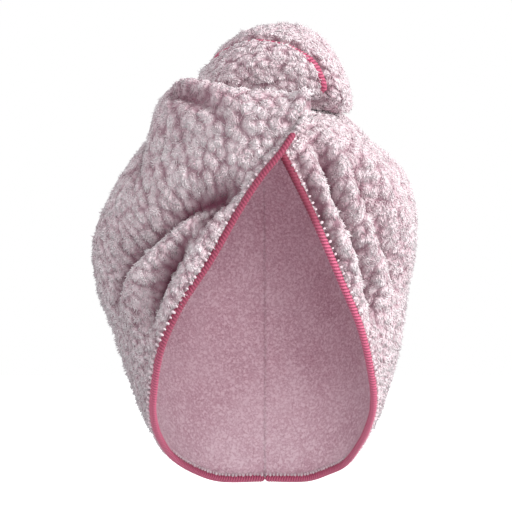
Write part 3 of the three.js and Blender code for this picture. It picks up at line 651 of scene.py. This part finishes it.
# Plush inside: grain over soft clouds, with dark thin lines where a noise crosses its middle and the
# plush parts
def liningFinish(look):
    f = Finish("plush lining")
    grain = f.noise(*look["grain"])
    fine = f.noise(*look["fine"])
    cloud = f.noise(*look["cloud"])
    parting = (f.noise(*look["parting"]) - 0.5).math("ABSOLUTE")
    shade = grain * look["grainShare"] + fine * look["fineShare"] + cloud.swing(look["cloudShare"])
    shade = shade + parting * look["partingShare"]
    base = f.mix(f.spread(shade, *look["span"]), tones["liningDark"], tones["lining"])
    height = grain + fine * look["bumpFine"]
    return f.finish({"Base Color": base, "Normal": f.bump(height, *look["bump"]), **look["shader"]})


# Wound thread: painted shade between the ribs, and painted shade towards the top of the rims and along
# the tail's seam where its shade value says so
def threadFinish(look):
    f = Finish("overlock thread")
    fine = f.noise(*look["fine"])
    shade = f.value("rib") + fine.swing(look["fineShare"])
    # painted shade: the thread darkens between its ribs
    base = f.mix(f.spread(shade, *look["span"]), tones["threadGrooveShade"], tones["thread"])
    # painted shade towards the top of the rims and along the tail's seam
    base = f.mix(f.value("threadShade"), base, tones["threadShadeTone"])
    return f.finish({"Base Color": base, "Normal": f.bump(fine, *look["bump"]), **look["shader"]})


# Nibs: mottled pale pile
def nibFinish(look):
    f = Finish("overlock nibs")
    base = f.mix(f.spread(f.noise(*look["fine"]), *look["span"]), tones["flank"], tones["nib"])
    return f.finish({"Base Color": base, **look["shader"]})


# Button: dull plastic with a faint cloud
def buttonFinish(look):
    f = Finish("button plastic")
    fine = f.noise(*look["fine"])
    base = f.mix(f.spread(fine, *look["span"]), tones["button"], tones["buttonPale"])
    return f.finish({"Base Color": base, "Normal": f.bump(fine, *look["bump"]), **look["shader"]})


fleece = fleeceFinish(finishes["fleece"])
fibre = fibreFinish(finishes["fibre"])
lining = liningFinish(finishes["lining"])
thread = threadFinish(finishes["thread"])
nib = nibFinish(finishes["nib"])
button = buttonFinish(finishes["button"])
print("finishes made")


# The wings as thick cloth: its outer edge lies edgeInside within the overlocked edge, nubs are edgeNubs
# high there and full edgeReach further in, and the open end thins to leastLip over a rounded lip. The
# normals lie in the seam's plane at the crown and down the back, so that both wings meet there
panelLook = {
    "edgeInside": 1.4,
    "edgeNubs": 0.6,
    "edgeReach": 8,
    "lip": 4,
    "leastLip": 0.2,
    "lipRows": 3,
    "normalKeep": 0.05,
    "crownSeam": (0.55, 0.13),
    "probe": 0.02,
}


# Shares of the way along a wing's edge where its mesh lines start: even up to the top of the back seam,
# and even again down that seam
def alongShares(side, steps):
    before = round(steps * wings["sideShare"])
    crown = wings[side]["crown"]["along"][-2]
    upper = np.linspace(0, crown, before + 1)
    lower = np.linspace(crown, 1, steps - before + 1)
    return np.concatenate([upper, lower[1:]])


# Middle surface of a wing on its grid, from edgeInside to the crown in even steps. pace is how many
# millimetres a whole step of v is worth beside the edge, across its own way
def wingGrid(side):
    edgePoint, length = edgeLine(side)
    crownAt = curveThrough(wings[side]["crown"], "along")
    steps, across = wings[side]["steps"]
    u = alongShares(side, steps)
    near = panelLook["probe"]
    start = wingPoint(side, edgePoint, crownAt, u, np.zeros_like(u))[0]
    step = wingPoint(side, edgePoint, crownAt, u, np.full_like(u, near))[0]
    way = unit(edgePoint(np.minimum(u + near, 1)) - edgePoint(np.maximum(u - near, 0)))
    pace = np.linalg.norm(np.cross((step - start) / near, way), axis=-1)
    first = panelLook["edgeInside"] / pace
    v = first[:, None] + (1 - first[:, None]) * np.linspace(0, 1, across + 1)
    u = np.broadcast_to(u[:, None], v.shape)
    p, d, crease = wingPoint(side, edgePoint, crownAt, u, v)
    normal = gridNormals(p, unit(shareOf(p) / halfSize))
    keep = panelLook["normalKeep"]
    crownFrom, crownReach = panelLook["crownSeam"]
    backSeam = ease((u - 1 + keep) / keep)
    topSeam = ease((v - 1 + keep) / keep) * ease((u - crownFrom) / crownReach)
    normal[..., 0] *= (1 - backSeam) * (1 - topSeam)
    normal = unit(normal)
    return {"p": p, "d": d, "crease": crease, "normal": normal, "u": u, "v": v, "pace": pace,
            "edgePoint": edgePoint, "length": length}


# A wing: the outer surface half a wall out with its nubs, the inner one half a wall in on half as many
# lines, and strips that join their edges
def makeWing(side):
    grid = wingGrid(side)
    pile = hoodNubs(side, grid["d"])
    fromEdge = (grid["v"] - grid["v"][:, :1]) * grid["pace"][:, None]
    full = ease(fromEdge / panelLook["edgeReach"])
    lift = nubs["height"] * pile * (panelLook["edgeNubs"] + (1 - panelLook["edgeNubs"]) * full)
    near = np.clip(grid["u"] * grid["length"] / panelLook["lip"], 0, 1)
    lip = np.maximum(np.sqrt(1 - (1 - near) ** 2), panelLook["leastLip"])[..., None]
    outer = grid["p"] + grid["normal"] * (hood["wall"] / 2 - nubs["sink"] + lift)[..., None] * lip
    inner = (grid["p"] - grid["normal"] * lip * hood["wall"] / 2)[::2, ::2]
    ahead = unit(grid["p"][:1] - grid["p"][panelLook["lipRows"]])
    grid["normal"] = unit(grid["normal"] + (1 - lip) * ahead)  # fibres on the lip point out of the end
    rows, columns = pile.shape
    rowsIn, columnsIn = inner.shape[:2]
    shift = rows * columns
    outerIndex = np.arange(shift).reshape(rows, columns)
    innerIndex = shift + np.arange(rowsIn * columnsIn).reshape(rowsIn, columnsIn)
    outside = gridFaces(rows, columns)
    inside = gridFaces(rowsIn, columnsIn)[:, ::-1] + shift
    edges = np.concatenate([
        stripFaces(outerIndex[:, 0], innerIndex[:, 0])[:, ::-1],
        stripFaces(outerIndex[:, -1], innerIndex[:, -1]),
        stripFaces(outerIndex[0], innerIndex[0]),
        stripFaces(outerIndex[-1], innerIndex[-1])[:, ::-1],
    ])
    faces = np.concatenate([outside, edges[:, ::-1], inside])
    kinds = np.concatenate([np.zeros(len(outside) + len(edges)), np.ones(len(inside))])
    values = {"pile": np.concatenate([pile.ravel(), np.ones(rowsIn * columnsIn)]),
              "crease": np.concatenate([grid["crease"].ravel(), np.zeros(rowsIn * columnsIn)])}
    points = np.concatenate([outer.reshape(-1, 3), inner.reshape(-1, 3)])
    piece = makePiece(f"{side}_wing", points, faces, [fleece, lining], kinds, values)
    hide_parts(f"{side}_panel")
    return {"piece": piece, "grid": grid, "outer": outer, "normal": grid["normal"], "pile": pile,
            "crease": grid["crease"]}


cloths = {"left": makeWing("left"), "right": makeWing("right")}


# The wound tail: foot of each section on the hood's centre line as an angle over the top from the front,
# lean to the front, height and half width as shares of the bun, shift to the right as a share of its
# width, and the share of the height under the widest level. grooveFade says where along the tail the
# spiral fold's groove is full and over how long it fades
tail = {
    "width": 108,
    "height": 59,
    "tilt": 2,
    "groove": 5.5,
    "grooveReach": 11,
    "grooveFade": (0.04, 0.97, 0.06),
    "grooveShade": 0.6,
    "leastShare": 0.2,
    "layGap": 1.2,
    "steps": (300, 232),
    "capRings": (0.08, 0.22, 0.36, 0.5, 0.64, 0.78, 0.9),
    "endRows": 12,
    "endSwell": 2,
    "rows": {
        "foot": (76, 76, 76, 77, 79, 85, 95, 110, 127, 146, 166, 186, 202),
        "lean": (65, 55, 45, 32, 16, 0, -12, -26, -44, -64, -82, -96, -108),
        "height": (0.41, 0.59, 0.76, 0.9, 0.97, 0.97, 0.93, 0.83, 0.68, 0.54, 0.42, 0.31, 0.21),
        "half": (0.57, 0.77, 0.92, 0.99, 1.02, 1, 0.94, 0.84, 0.72, 0.58, 0.44, 0.31, 0.18),
        "shift": (0.105, 0.09, 0.066, 0.05, 0.048, 0.042, 0.036, 0.026, 0.015, 0, -0.01, 0, 0.01),
        "belly": (0.22, 0.18, 0.17, 0.16, 0.16, 0.12, 0.16, 0.22, 0.28, 0.34, 0.38, 0.42, 0.45),
    },
    "spiral": {
        "along": (0.02, 0.083, 0.15, 0.2, 0.24, 0.275, 0.31, 0.37, 0.46, 0.6, 0.76, 0.93),
        "turn": (64, 56, 46, 33, 14, -10, -33, -52, -66, -74, -66, -48),
    },
    "seam": {
        "width": 4.6,
        "thickness": 3.4,
        "raise": 4.4,
        "sunk": 3.7,
        "sunkMore": 2.2,
        "waves": (71, 23),
        "from": 0.09,
        "to": 0.925,
        "points": 400,
        "probe": 3,
        "threadShade": 0.15,
    },
}
tailAt = curveThrough({"along": np.linspace(0, 1, len(tail["rows"]["foot"])), **tail["rows"]}, "along")
spiralAt = curveThrough(tail["spiral"], "along")


# Section of the tail at a share of its length: its foot on the hood, which way is up in it, and its sizes
def tailSection(s):
    row = tailAt(s)
    angle = row["foot"] * degree
    zero = np.zeros_like(angle)
    centre = np.stack([zero, -np.cos(angle), np.sin(angle)], -1)
    foot = hoodPoint(centre)
    away = unit(shareOf(foot) / halfSize)
    foot = foot + away * (hood["wall"] / 2 + tail["layGap"])
    foot[..., 0] = row["shift"] * tail["width"]
    lean = row["lean"] * degree
    up = np.stack([zero, -np.sin(lean), np.cos(lean)], -1)
    height = row["height"] * tail["height"]
    return {"centre": centre, "away": away, "foot": foot, "up": up, "height": height,
            "belly": row["belly"] * height, "half": row["half"] * tail["width"] / 2}


# Point of the tail: an oval section whose belly is lower than its top, dipped along the spiral fold,
# and let down with the hood where that falls away beside its centre line
def tailPoint(s, turn):
    section = tailSection(s)
    side, rise = np.sin(turn * degree), np.cos(turn * degree)
    gap = np.mod(turn - spiralAt(s)["turn"] + 900, 360) - 180
    reach = np.hypot(section["half"] * rise, section["height"] * side) * degree
    fadeFrom, fadeTo, fadeReach = tail["grooveFade"]
    ends = ease((s - fadeFrom) / fadeReach) * ease((fadeTo - s) / fadeReach)
    dip = tail["groove"] * swell(gap * reach / tail["grooveReach"]) * ends
    lift = np.where(rise > 0, section["height"] - section["belly"], section["belly"])
    p = section["foot"].copy()
    least = tail["leastShare"]
    p[..., 0] += side * np.maximum(section["half"] - dip, section["half"] * least)
    p[..., 0] += tail["tilt"] * np.maximum(rise, 0) * section["height"] / tail["height"]
    p = p + section["up"] * (section["belly"] + rise * np.maximum(lift - dip, lift * least))[..., None]
    beside = section["centre"].copy()
    beside[..., 0] = p[..., 0] / halfSize[0]
    fall = dot(hoodPoint(section["centre"]) - hoodPoint(unit(beside)), section["away"])
    return p - section["away"] * fall


# The tail: rings of points along it, and smaller rings that close each end as a flat dome whose height
# is a quarter circle of the ring's share. Nubs stand on it in rows along its length
def makeTail():
    steps, around = tail["steps"]
    s = np.broadcast_to(np.linspace(0, 1, steps + 1)[:, None], (steps + 1, around))
    shares = np.array(tail["capRings"])[:, None, None]
    p = tailPoint(s, spiralAt(s)["turn"] + np.arange(around) * 360 / around)
    section = tailSection(s)
    middle = section["foot"] + section["up"] * section["height"][..., None] / 2
    bulge = tail["endSwell"] * np.sqrt(1 - shares ** 2)
    near = tail["endRows"]
    headWay = unit(middle[0, 0] - middle[near, 0])
    footWay = unit(middle[-1, 0] - middle[-1 - near, 0])
    head = middle[:1] + (p[:1] - middle[:1]) * shares + bulge * headWay
    foot = middle[-1:] + (p[-1:] - middle[-1:]) * shares + bulge * footWay
    p = np.concatenate([head, p, foot[::-1]])
    inside = np.clip(np.arange(len(p)) - len(shares), near, steps - near)
    ring = np.clip(np.arange(len(p)) - len(shares), 0, steps)
    middle, s = middle[inside], s[ring]
    section = tailSection(s)
    turn = spiralAt(s)["turn"] + np.arange(around) * 360 / around
    wide = np.concatenate([p[:, -1:], p, p[:, :1]], axis=1)
    along, across = np.gradient(wide, axis=0)[:, 1:-1], np.gradient(wide, axis=1)[:, 1:-1]
    normal = unit(np.cross(along, across))
    normal = np.where(dot(normal, p - middle) < 0, -normal, normal)
    lengths = np.linalg.norm(np.diff(p, axis=0), axis=-1).mean(1)
    place = np.broadcast_to(np.concatenate([[0], np.cumsum(lengths)])[:, None], s.shape)
    girths = np.linalg.norm(np.diff(wide, axis=1), axis=-1).sum(1)

    def girth(at):
        return np.interp(at, place[:, 0], girths)

    pile = nubField(place, np.mod(turn, 360) / 360, girth, girths[:, None])
    outer = p + normal * (nubs["height"] * pile - nubs["sink"])[..., None]
    points = np.concatenate([outer.reshape(-1, 3), outer[:1].mean(1), outer[-1:].mean(1)])
    faces = np.concatenate([gridFaces(len(p), around, True), *endFaces(len(p), around)])
    gap = np.abs(np.mod(np.arange(around) * 360 / around + 180, 360) - 180) * degree
    # painted shade along the tail's spiral groove, passed on as the crease value
    groove = tail["grooveShade"] * np.exp(-(gap * section["half"] / wings["creaseReach"]) ** 2)
    values = {"pile": np.concatenate([pile.ravel(), [0.5, 0.5]]),
              "crease": np.concatenate([groove.ravel(), [0, 0]])}
    piece = makePiece("tail_bun", points, faces, [fleece], None, values)
    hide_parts("twisted_tail")
    return {"outer": outer, "normal": normal, "pile": pile, "crease": groove}


cloths["tail"] = makeTail()
print("cloth made")


# The fibres: thin closed spikes of four faces, from random places of a grid, that lean out of the nubs.
# length is the shortest and the longest; onNubs, widthSpan and tint are a least share and what a nub, or
# chance, adds to it
fibres = {
    "counts": {"left": 47000, "right": 39000, "tail": 36000},
    "bare": 0.45,
    "bareCrease": 0.75,
    "length": (2.3, 4.3),
    "lengthPower": 1.5,
    "onNubs": (0.7, 0.3),
    "inCrease": 0.4,
    "width": 0.7,
    "widthSpan": (0.7, 0.6),
    "corners": (0, 2.094, 4.189),
    "out": 0.48,
    "leastOut": 0.2,
    "fall": 0.5,
    "droop": 0.75,
    "curl": 0.6,
    "curlLength": (9, 14, 21),
    "curlSize": 1.6,
    "loose": 0.26,
    "root": 0.5,
    "tint": (0.2, 0.6),
    "tintCloud": 0.15,
    "tip": 0.6,
    "tipOnNubs": 0.55,
}


# Smooth unit-sized swirl through space: three sines of different lengths and slants on each axis
def swirl(p, seed):
    count = 3 * len(fibres["curlLength"])
    ways = np.stack([scatter(np.arange(count), np.full(count, k), seed) - 0.5 for k in range(3)], -1)
    phases = 2 * np.pi * scatter(np.arange(count), np.full(count, 3), seed)
    waves = np.sin(p @ (unit(ways) * 2 * np.pi / np.repeat(fibres["curlLength"], 3)[:, None]).T + phases)
    return waves.reshape(*p.shape[:-1], 3, -1).sum(-2) / fibres["curlSize"]


# Fibres of one cloth: places are drawn by area, more of them on the nubs. Each leans out, down the slope
# of its nub, down by its weight, along the swirl and a little at random
def makeFibres(side, cloth, wrap=False):
    count = fibres["counts"][side]
    outer, pile, crease = cloth["outer"], cloth["pile"], cloth["crease"]
    columns = pile.shape[1]
    wide = np.concatenate([outer, outer[:, :1]], axis=1) if wrap else outer
    area = np.linalg.norm(np.cross(np.gradient(wide, axis=0), np.gradient(wide, axis=1)), axis=-1)
    weight = area[:, :columns] * (fibres["bare"] + pile) * (1 - fibres["bareCrease"] * crease)
    weight = weight[:-1, :(None if wrap else -1)]
    total = np.cumsum(weight.ravel())
    pick = np.searchsorted(total, chance.random(count) * total[-1])
    i, k = np.unravel_index(np.minimum(pick, weight.size - 1), weight.shape)
    a, b = chance.random((2, count, 1))
    nextK = (k + 1) % columns

    def between(field):
        low = field[i, k] * (1 - a) + field[i + 1, k] * a
        high = field[i, nextK] * (1 - a) + field[i + 1, nextK] * a
        return low * (1 - b) + high * b

    root = between(outer)
    out = unit(between(cloth["normal"]))
    tall = between(pile[..., None])
    sunk = between(crease[..., None])
    slopeI, slopeK = np.gradient(pile)
    alongI, alongK = np.gradient(outer, axis=0), np.gradient(outer, axis=1)
    fall = -(slopeI[i, k][:, None] * unit(alongI[i, k]) + slopeK[i, k][:, None] * unit(alongK[i, k]))
    loose = chance.normal(size=(count, 3))
    down = np.array([0, 0, -fibres["droop"]])
    lock = swirl(root, 5)
    way = out * fibres["out"] + fall * fibres["fall"] + down
    way = unit(way + lock * fibres["curl"] + loose * fibres["loose"])
    way = unit(way + out * np.maximum(fibres["leastOut"] - dot(way, out), 0))
    low, high = fibres["length"]
    length = low + (high - low) * chance.random((count, 1)) ** fibres["lengthPower"]
    least, more = fibres["onNubs"]
    length = length * (least + more * tall) * (1 - fibres["inCrease"] * sunk)
    across = unit(np.cross(way, loose))
    other = np.cross(way, across)
    least, more = fibres["widthSpan"]
    width = fibres["width"] * (least + more * chance.random((count, 1)))
    root = root - way * fibres["root"]
    corners = [root + width * (math.cos(t) * across + math.sin(t) * other) for t in fibres["corners"]]
    points = np.stack([*corners, root + way * length], 1).reshape(-1, 3)
    base = 4 * np.arange(count)[:, None]
    faces = np.concatenate([base + np.array(t) for t in ((0, 2, 1), (0, 1, 3), (1, 2, 3), (2, 0, 3))])
    tint = fibres["tint"][1] * chance.random(count) + fibres["tint"][0]
    tint = tint + fibres["tintCloud"] * swirl(root, 8)[:, 0]
    # painted shade within the pile: each fibre is pale at its tip and darker at its root, paler on the
    # nubs and darker in the creases; the pale tips are partly the fleece's own
    tip = np.tile([0.0, 0.0, 0.0, 1.0], count) * fibres["tip"]
    tip = tip + np.repeat(tall[:, 0] - sunk[:, 0], 4) * fibres["tipOnNubs"]
    values = {"tint": np.repeat(tint, 4), "tip": tip, "crease": np.repeat(sunk[:, 0], 4)}
    piece = makePiece(f"{side}_fibres", points, faces, [fibre], None, values)


makeFibres("left", cloths["left"])
makeFibres("right", cloths["right"])
makeFibres("tail", cloths["tail"], True)
print("fibres made")


# The overlocked edges: an oval bead round which thread is wound, so its surface rises in slanted ribs,
# and pale nibs of pile that poke out beside it. Pairs of pitches go from the front to the hem, which lies
# between two shares of the edge. The thread takes painted shade between two heights, from none at the
# foot to full at the top, so that the top of each rim is darker
overlock = {
    "width": 5.2,
    "thickness": 4.4,
    "notch": 0.9,
    "start": {"left": 0.05, "right": 0.001},
    "hem": (0.72, 0.86),
    "pitch": (2.3, 1.9),
    "step": 0.36,
    "around": 10,
    "rib": 0.6,
    "ribMiddle": 0.6,
    "slant": 2.5,
    "leastEnd": 0.15,
    "points": 600,
    "probe": 0.02,
    "nibPitch": (4.6, 2.7),
    "nibSize": (1.0, 1.0, 1.6),
    "nibGrow": (0.75, 0.5),
    "nibOut": 0.42,
    "nibRise": 0.58,
    "nibBothFaces": 0.3,
    "threadShade": {"left": 0.6, "right": 0.85},
    "threadShadeTop": {"left": -130, "right": -62},
    "threadShadeFoot": {"left": -190, "right": -88},
}


# Bead along points, with the way across it at each: ribs are a rounded sine of the stitches counted along
# it, shifted with the turn round it so that the thread climbs. pitch and the thread's painted shade go
# with the points
def makeBead(name, points, ways, width, thickness, pitch, threadShade):
    length = np.concatenate([[0], np.cumsum(np.linalg.norm(np.diff(points, axis=0), axis=1))])
    at = np.linspace(0, length[-1], int(length[-1] / overlock["step"]))
    line = np.stack([np.interp(at, length, points[:, i]) for i in range(3)], -1)
    across = np.stack([np.interp(at, length, ways[:, i]) for i in range(3)], -1)
    way = unit(np.gradient(line, axis=0))
    thick = unit(np.cross(way, across))
    wide = np.cross(thick, way)
    turn = np.arange(overlock["around"]) * 2 * np.pi / overlock["around"]
    stitches = np.cumsum(overlock["step"] / np.interp(at, length, pitch))
    phase = stitches[:, None] + turn * overlock["slant"] / (2 * np.pi)
    wave = np.abs(np.sin(np.pi * phase))
    grow = overlock["rib"] * (wave - overlock["ribMiddle"])
    taper = np.minimum(np.minimum(at, at[-1] - at) / (thickness / 2), 1)
    cap = np.sqrt(1 - (1 - np.maximum(taper, overlock["leastEnd"])) ** 2)[:, None]
    x = (np.cos(turn) * (width / 2 + grow) * cap)[..., None]
    y = (np.sin(turn) * (thickness / 2 + grow) * cap)[..., None]
    surface = line[:, None] + x * wide[:, None] + y * thick[:, None]
    rows, around = surface.shape[:2]
    points = np.concatenate([surface.reshape(-1, 3), line[:1], line[-1:]])
    faces = np.concatenate([gridFaces(rows, around, True), *endFaces(rows, around)])
    # painted shade of the thread along the bead
    shade = np.repeat(np.interp(at, length, threadShade), around)
    values = {"rib": np.concatenate([wave.ravel(), [0, 0]]),
              "threadShade": np.concatenate([shade, shade[[0, -1]]])}
    piece = makePiece(name, points, faces, [thread], None, values)
    return piece, line, wide, thick


# Small closed blobs at given places, each with its own frame of three directions: the twelve corners of
# an icosahedron, with a face wherever three of them are neighbours
def makeNibs(name, places, frames):
    golden = (1 + math.sqrt(5)) / 2
    neighbours = 1.06  # corners on a unit ball that are nearer than this share an edge
    corners = np.array([(0, a, b * golden) for a in (-1, 1) for b in (-1, 1)], float)
    corners = np.concatenate([np.roll(corners, i, axis=1) for i in range(3)]) / math.hypot(1, golden)
    i, j, k = np.indices((12, 12, 12)).reshape(3, -1)
    faces = np.stack([i, j, k], -1)[(i < j) & (j < k)]
    a, b, c = (corners[faces[:, n]] for n in range(3))
    longest = np.max([np.linalg.norm(x - y, axis=-1) for x, y in ((a, b), (b, c), (a, c))], axis=0)
    turned = (a * np.cross(b, c)).sum(-1) > 0
    faces = np.where(turned[:, None], faces, faces[:, [0, 2, 1]])[longest < neighbours]
    least, more = overlock["nibGrow"]
    grow = least + more * chance.random((len(places), 1, 1))
    shape = corners * np.array(overlock["nibSize"])
    points = places[:, None] + grow * np.einsum("nk,mkx->mnx", shape, frames)
    base = len(corners) * np.arange(len(places))[:, None, None]
    piece = makePiece(name, points.reshape(-1, 3), (base + faces).reshape(-1, 3), [nib])


# The edge of one wing: its bead follows the edge's line, and nibs stand on its inner side in steps that
# get shorter towards the hem, where they are on both faces
def makeRim(side, grid):
    start, end = overlock["start"][side], 1 - overlock["notch"] / 2 / grid["length"]
    u = np.linspace(start, end, overlock["points"])
    points = grid["edgePoint"](u)
    crownAt = curveThrough(wings[side]["crown"], "along")
    near = wingPoint(side, grid["edgePoint"], crownAt, u, np.full_like(u, overlock["probe"]))[0]
    hemFrom, hemTo = overlock["hem"]
    hem = ease((u - hemFrom) / (hemTo - hemFrom))
    pitch = overlock["pitch"][0] + (overlock["pitch"][1] - overlock["pitch"][0]) * hem
    # painted shade of the thread: none below the foot height, full from the top height up
    foot, top = overlock["threadShadeFoot"][side], overlock["threadShadeTop"][side]
    high = ease((points[:, 2] - foot) / (top - foot))
    name = f"{side}_rim_thread"
    piece, line, wide, thick = makeBead(name, points, unit(near - points), overlock["width"],
                                        overlock["thickness"], pitch, overlock["threadShade"][side] * high)
    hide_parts(f"rim_overlock_{side}")
    along = np.interp(np.linspace(start, end, len(line)), u, hem)
    spacing = overlock["nibPitch"][0] + (overlock["nibPitch"][1] - overlock["nibPitch"][0]) * along
    count = np.cumsum(overlock["step"] / spacing)
    pick = np.flatnonzero(np.diff(np.floor(count)) > 0)
    pick = np.concatenate([pick, pick[along[pick] > overlock["nibBothFaces"]]])
    face = np.sign((thick[pick] * (line[pick] - hoodCentre)).sum(-1))[:, None]
    face[np.flatnonzero(np.diff(pick) < 0)[0] + 1:] *= -1
    places = (line[pick] + wide[pick] * overlock["width"] * overlock["nibOut"]
              + thick[pick] * face * overlock["thickness"] * overlock["nibRise"])
    frames = np.stack([unit(np.gradient(line, axis=0))[pick], thick[pick], wide[pick]], 1)
    makeNibs(f"{side}_rim_nibs", places, frames)


makeRim("left", cloths["left"]["grid"])
makeRim("right", cloths["right"]["grid"])


# The seam in the tail's groove: a bead along the spiral fold, sunk in the pile by a slow wave
def makeTailSeam():
    seam = tail["seam"]
    s = np.linspace(seam["from"], seam["to"], seam["points"])
    turn = spiralAt(s)["turn"]
    here = tailPoint(s, turn)
    across = tailPoint(s, turn + seam["probe"]) - tailPoint(s, turn - seam["probe"])
    ahead = unit(np.gradient(here, axis=0))
    across = unit(across - dot(across, ahead) * ahead)
    section = tailSection(s)
    centre = section["foot"] + section["up"] * section["belly"][:, None]
    out = unit(np.cross(across, ahead))
    out = np.where(dot(out, here - centre) < 0, -out, out)
    wave = np.sin(s * seam["waves"][0]) * np.sin(s * seam["waves"][1])
    sunk = seam["sunk"] + seam["sunkMore"] * (0.5 + 0.5 * wave)
    points = here + out * (seam["thickness"] / 2 + seam["raise"] - sunk)[:, None]
    # the seam's thread takes a little painted shade all along, in the groove
    piece = makeBead("tail_seam_thread", points, across, seam["width"], seam["thickness"],
                     np.full_like(s, overlock["pitch"][0]), np.full_like(s, seam["threadShade"]))[0]
    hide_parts("tail_overlock")


makeTailSeam()
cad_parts["nape_fastener"].data.materials.clear()
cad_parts["nape_fastener"].data.materials.append(button)

print("edges made")


# The stage in metres: a flat pale floor, a pale world that the camera sees as plain white, and lamps that
# aim at one point of the part
stage = {
    "floor": -0.36,
    "half": 5,
    "tone": colour(250, 250, 250),
    "glow": 0.8,
    "world": 0.6,
    "worldTone": (0.97, 0.98, 1, 1),
    "white": (1, 1, 1, 1),
    "aim": (0, 0, -0.08),
}


# The floor glows a little and lends no light to the part, so that it stays pale all over
def makeStage():
    half, floor = stage["half"], stage["floor"]
    f = Finish("pale floor")
    finish = f.finish({"Base Color": stage["tone"], "Roughness": 0.9, "Emission Color": stage["white"],
                       "Emission Strength": stage["glow"]})
    mesh = bpy.data.meshes.new("floor")
    corners = [(-half, -half, floor), (half, -half, floor), (half, half, floor), (-half, half, floor)]
    mesh.from_pydata(corners, [], [(0, 1, 2, 3)])
    mesh.materials.append(finish)
    piece = bpy.data.objects.new("floor", mesh)
    bpy.context.scene.collection.objects.link(piece)
    piece.visible_diffuse = False


# Round area lamps: a bright one at the right, a soft one in front and a weak one at the left
lamps = {
    "key": {"place": (2.1, -1.2, 0.9), "size": 0.7, "power": 62, "tone": (1, 0.99, 0.98)},
    "front": {"place": (0.4, -2.4, 0.3), "size": 0.9, "power": 15, "tone": (1, 0.99, 0.99)},
    "left": {"place": (-1.9, 0.2, 0.7), "size": 0.9, "power": 9, "tone": (0.98, 0.99, 1)},
}


# Each lamp is turned to the aim. The world lights the part softly, and its plain white is only seen
def makeLamps():
    aim = Vector(stage["aim"])
    for name, lamp in lamps.items():
        data = bpy.data.lights.new(name, "AREA")
        data.shape = "DISK"
        data.size = lamp["size"]
        data.energy = lamp["power"]
        data.color = lamp["tone"]
        light = bpy.data.objects.new(name, data)
        light.location = lamp["place"]
        light.rotation_euler = (aim - Vector(lamp["place"])).to_track_quat("-Z", "Y").to_euler()
        bpy.context.scene.collection.objects.link(light)
    world = bpy.data.worlds.new("studio")
    world.use_nodes = True
    tree = world.node_tree
    light = tree.nodes["Background"]
    light.inputs[0].default_value = stage["worldTone"]
    light.inputs[1].default_value = stage["world"]
    seen = tree.nodes.new("ShaderNodeBackground")  # what the camera sees behind the part is plain white
    seen.inputs[0].default_value = stage["white"]
    choice = tree.nodes.new("ShaderNodeMixShader")
    tree.links.new(tree.nodes.new("ShaderNodeLightPath").outputs["Is Camera Ray"], choice.inputs[0])
    tree.links.new(light.outputs[0], choice.inputs[1])
    tree.links.new(seen.outputs[0], choice.inputs[2])
    tree.links.new(choice.outputs[0], tree.nodes["World Output"].inputs[0])
    bpy.context.scene.world = world
    bpy.context.scene.view_settings.view_transform = "Standard"


# The camera looks level at the front; width is what its picture spans at the origin, in metres
camera = {"place": (-0.00408, -2.2, -0.0925), "width": 0.3482, "sensor": 36, "sight": 20}


# Focal length: the sensor's width by the way to the origin over the picture's width there
def makeCamera():
    data = bpy.data.cameras.new("camera")
    data.sensor_width = camera["sensor"]
    data.sensor_fit = "HORIZONTAL"
    data.lens = camera["sensor"] * -camera["place"][1] / camera["width"]
    data.clip_end = camera["sight"]
    eye = bpy.data.objects.new("camera", data)
    eye.location = camera["place"]
    eye.rotation_euler = (math.pi / 2, 0, 0)
    bpy.context.scene.collection.objects.link(eye)
    bpy.context.scene.camera = eye


makeStage()
makeLamps()
makeCamera()
print("stage made")
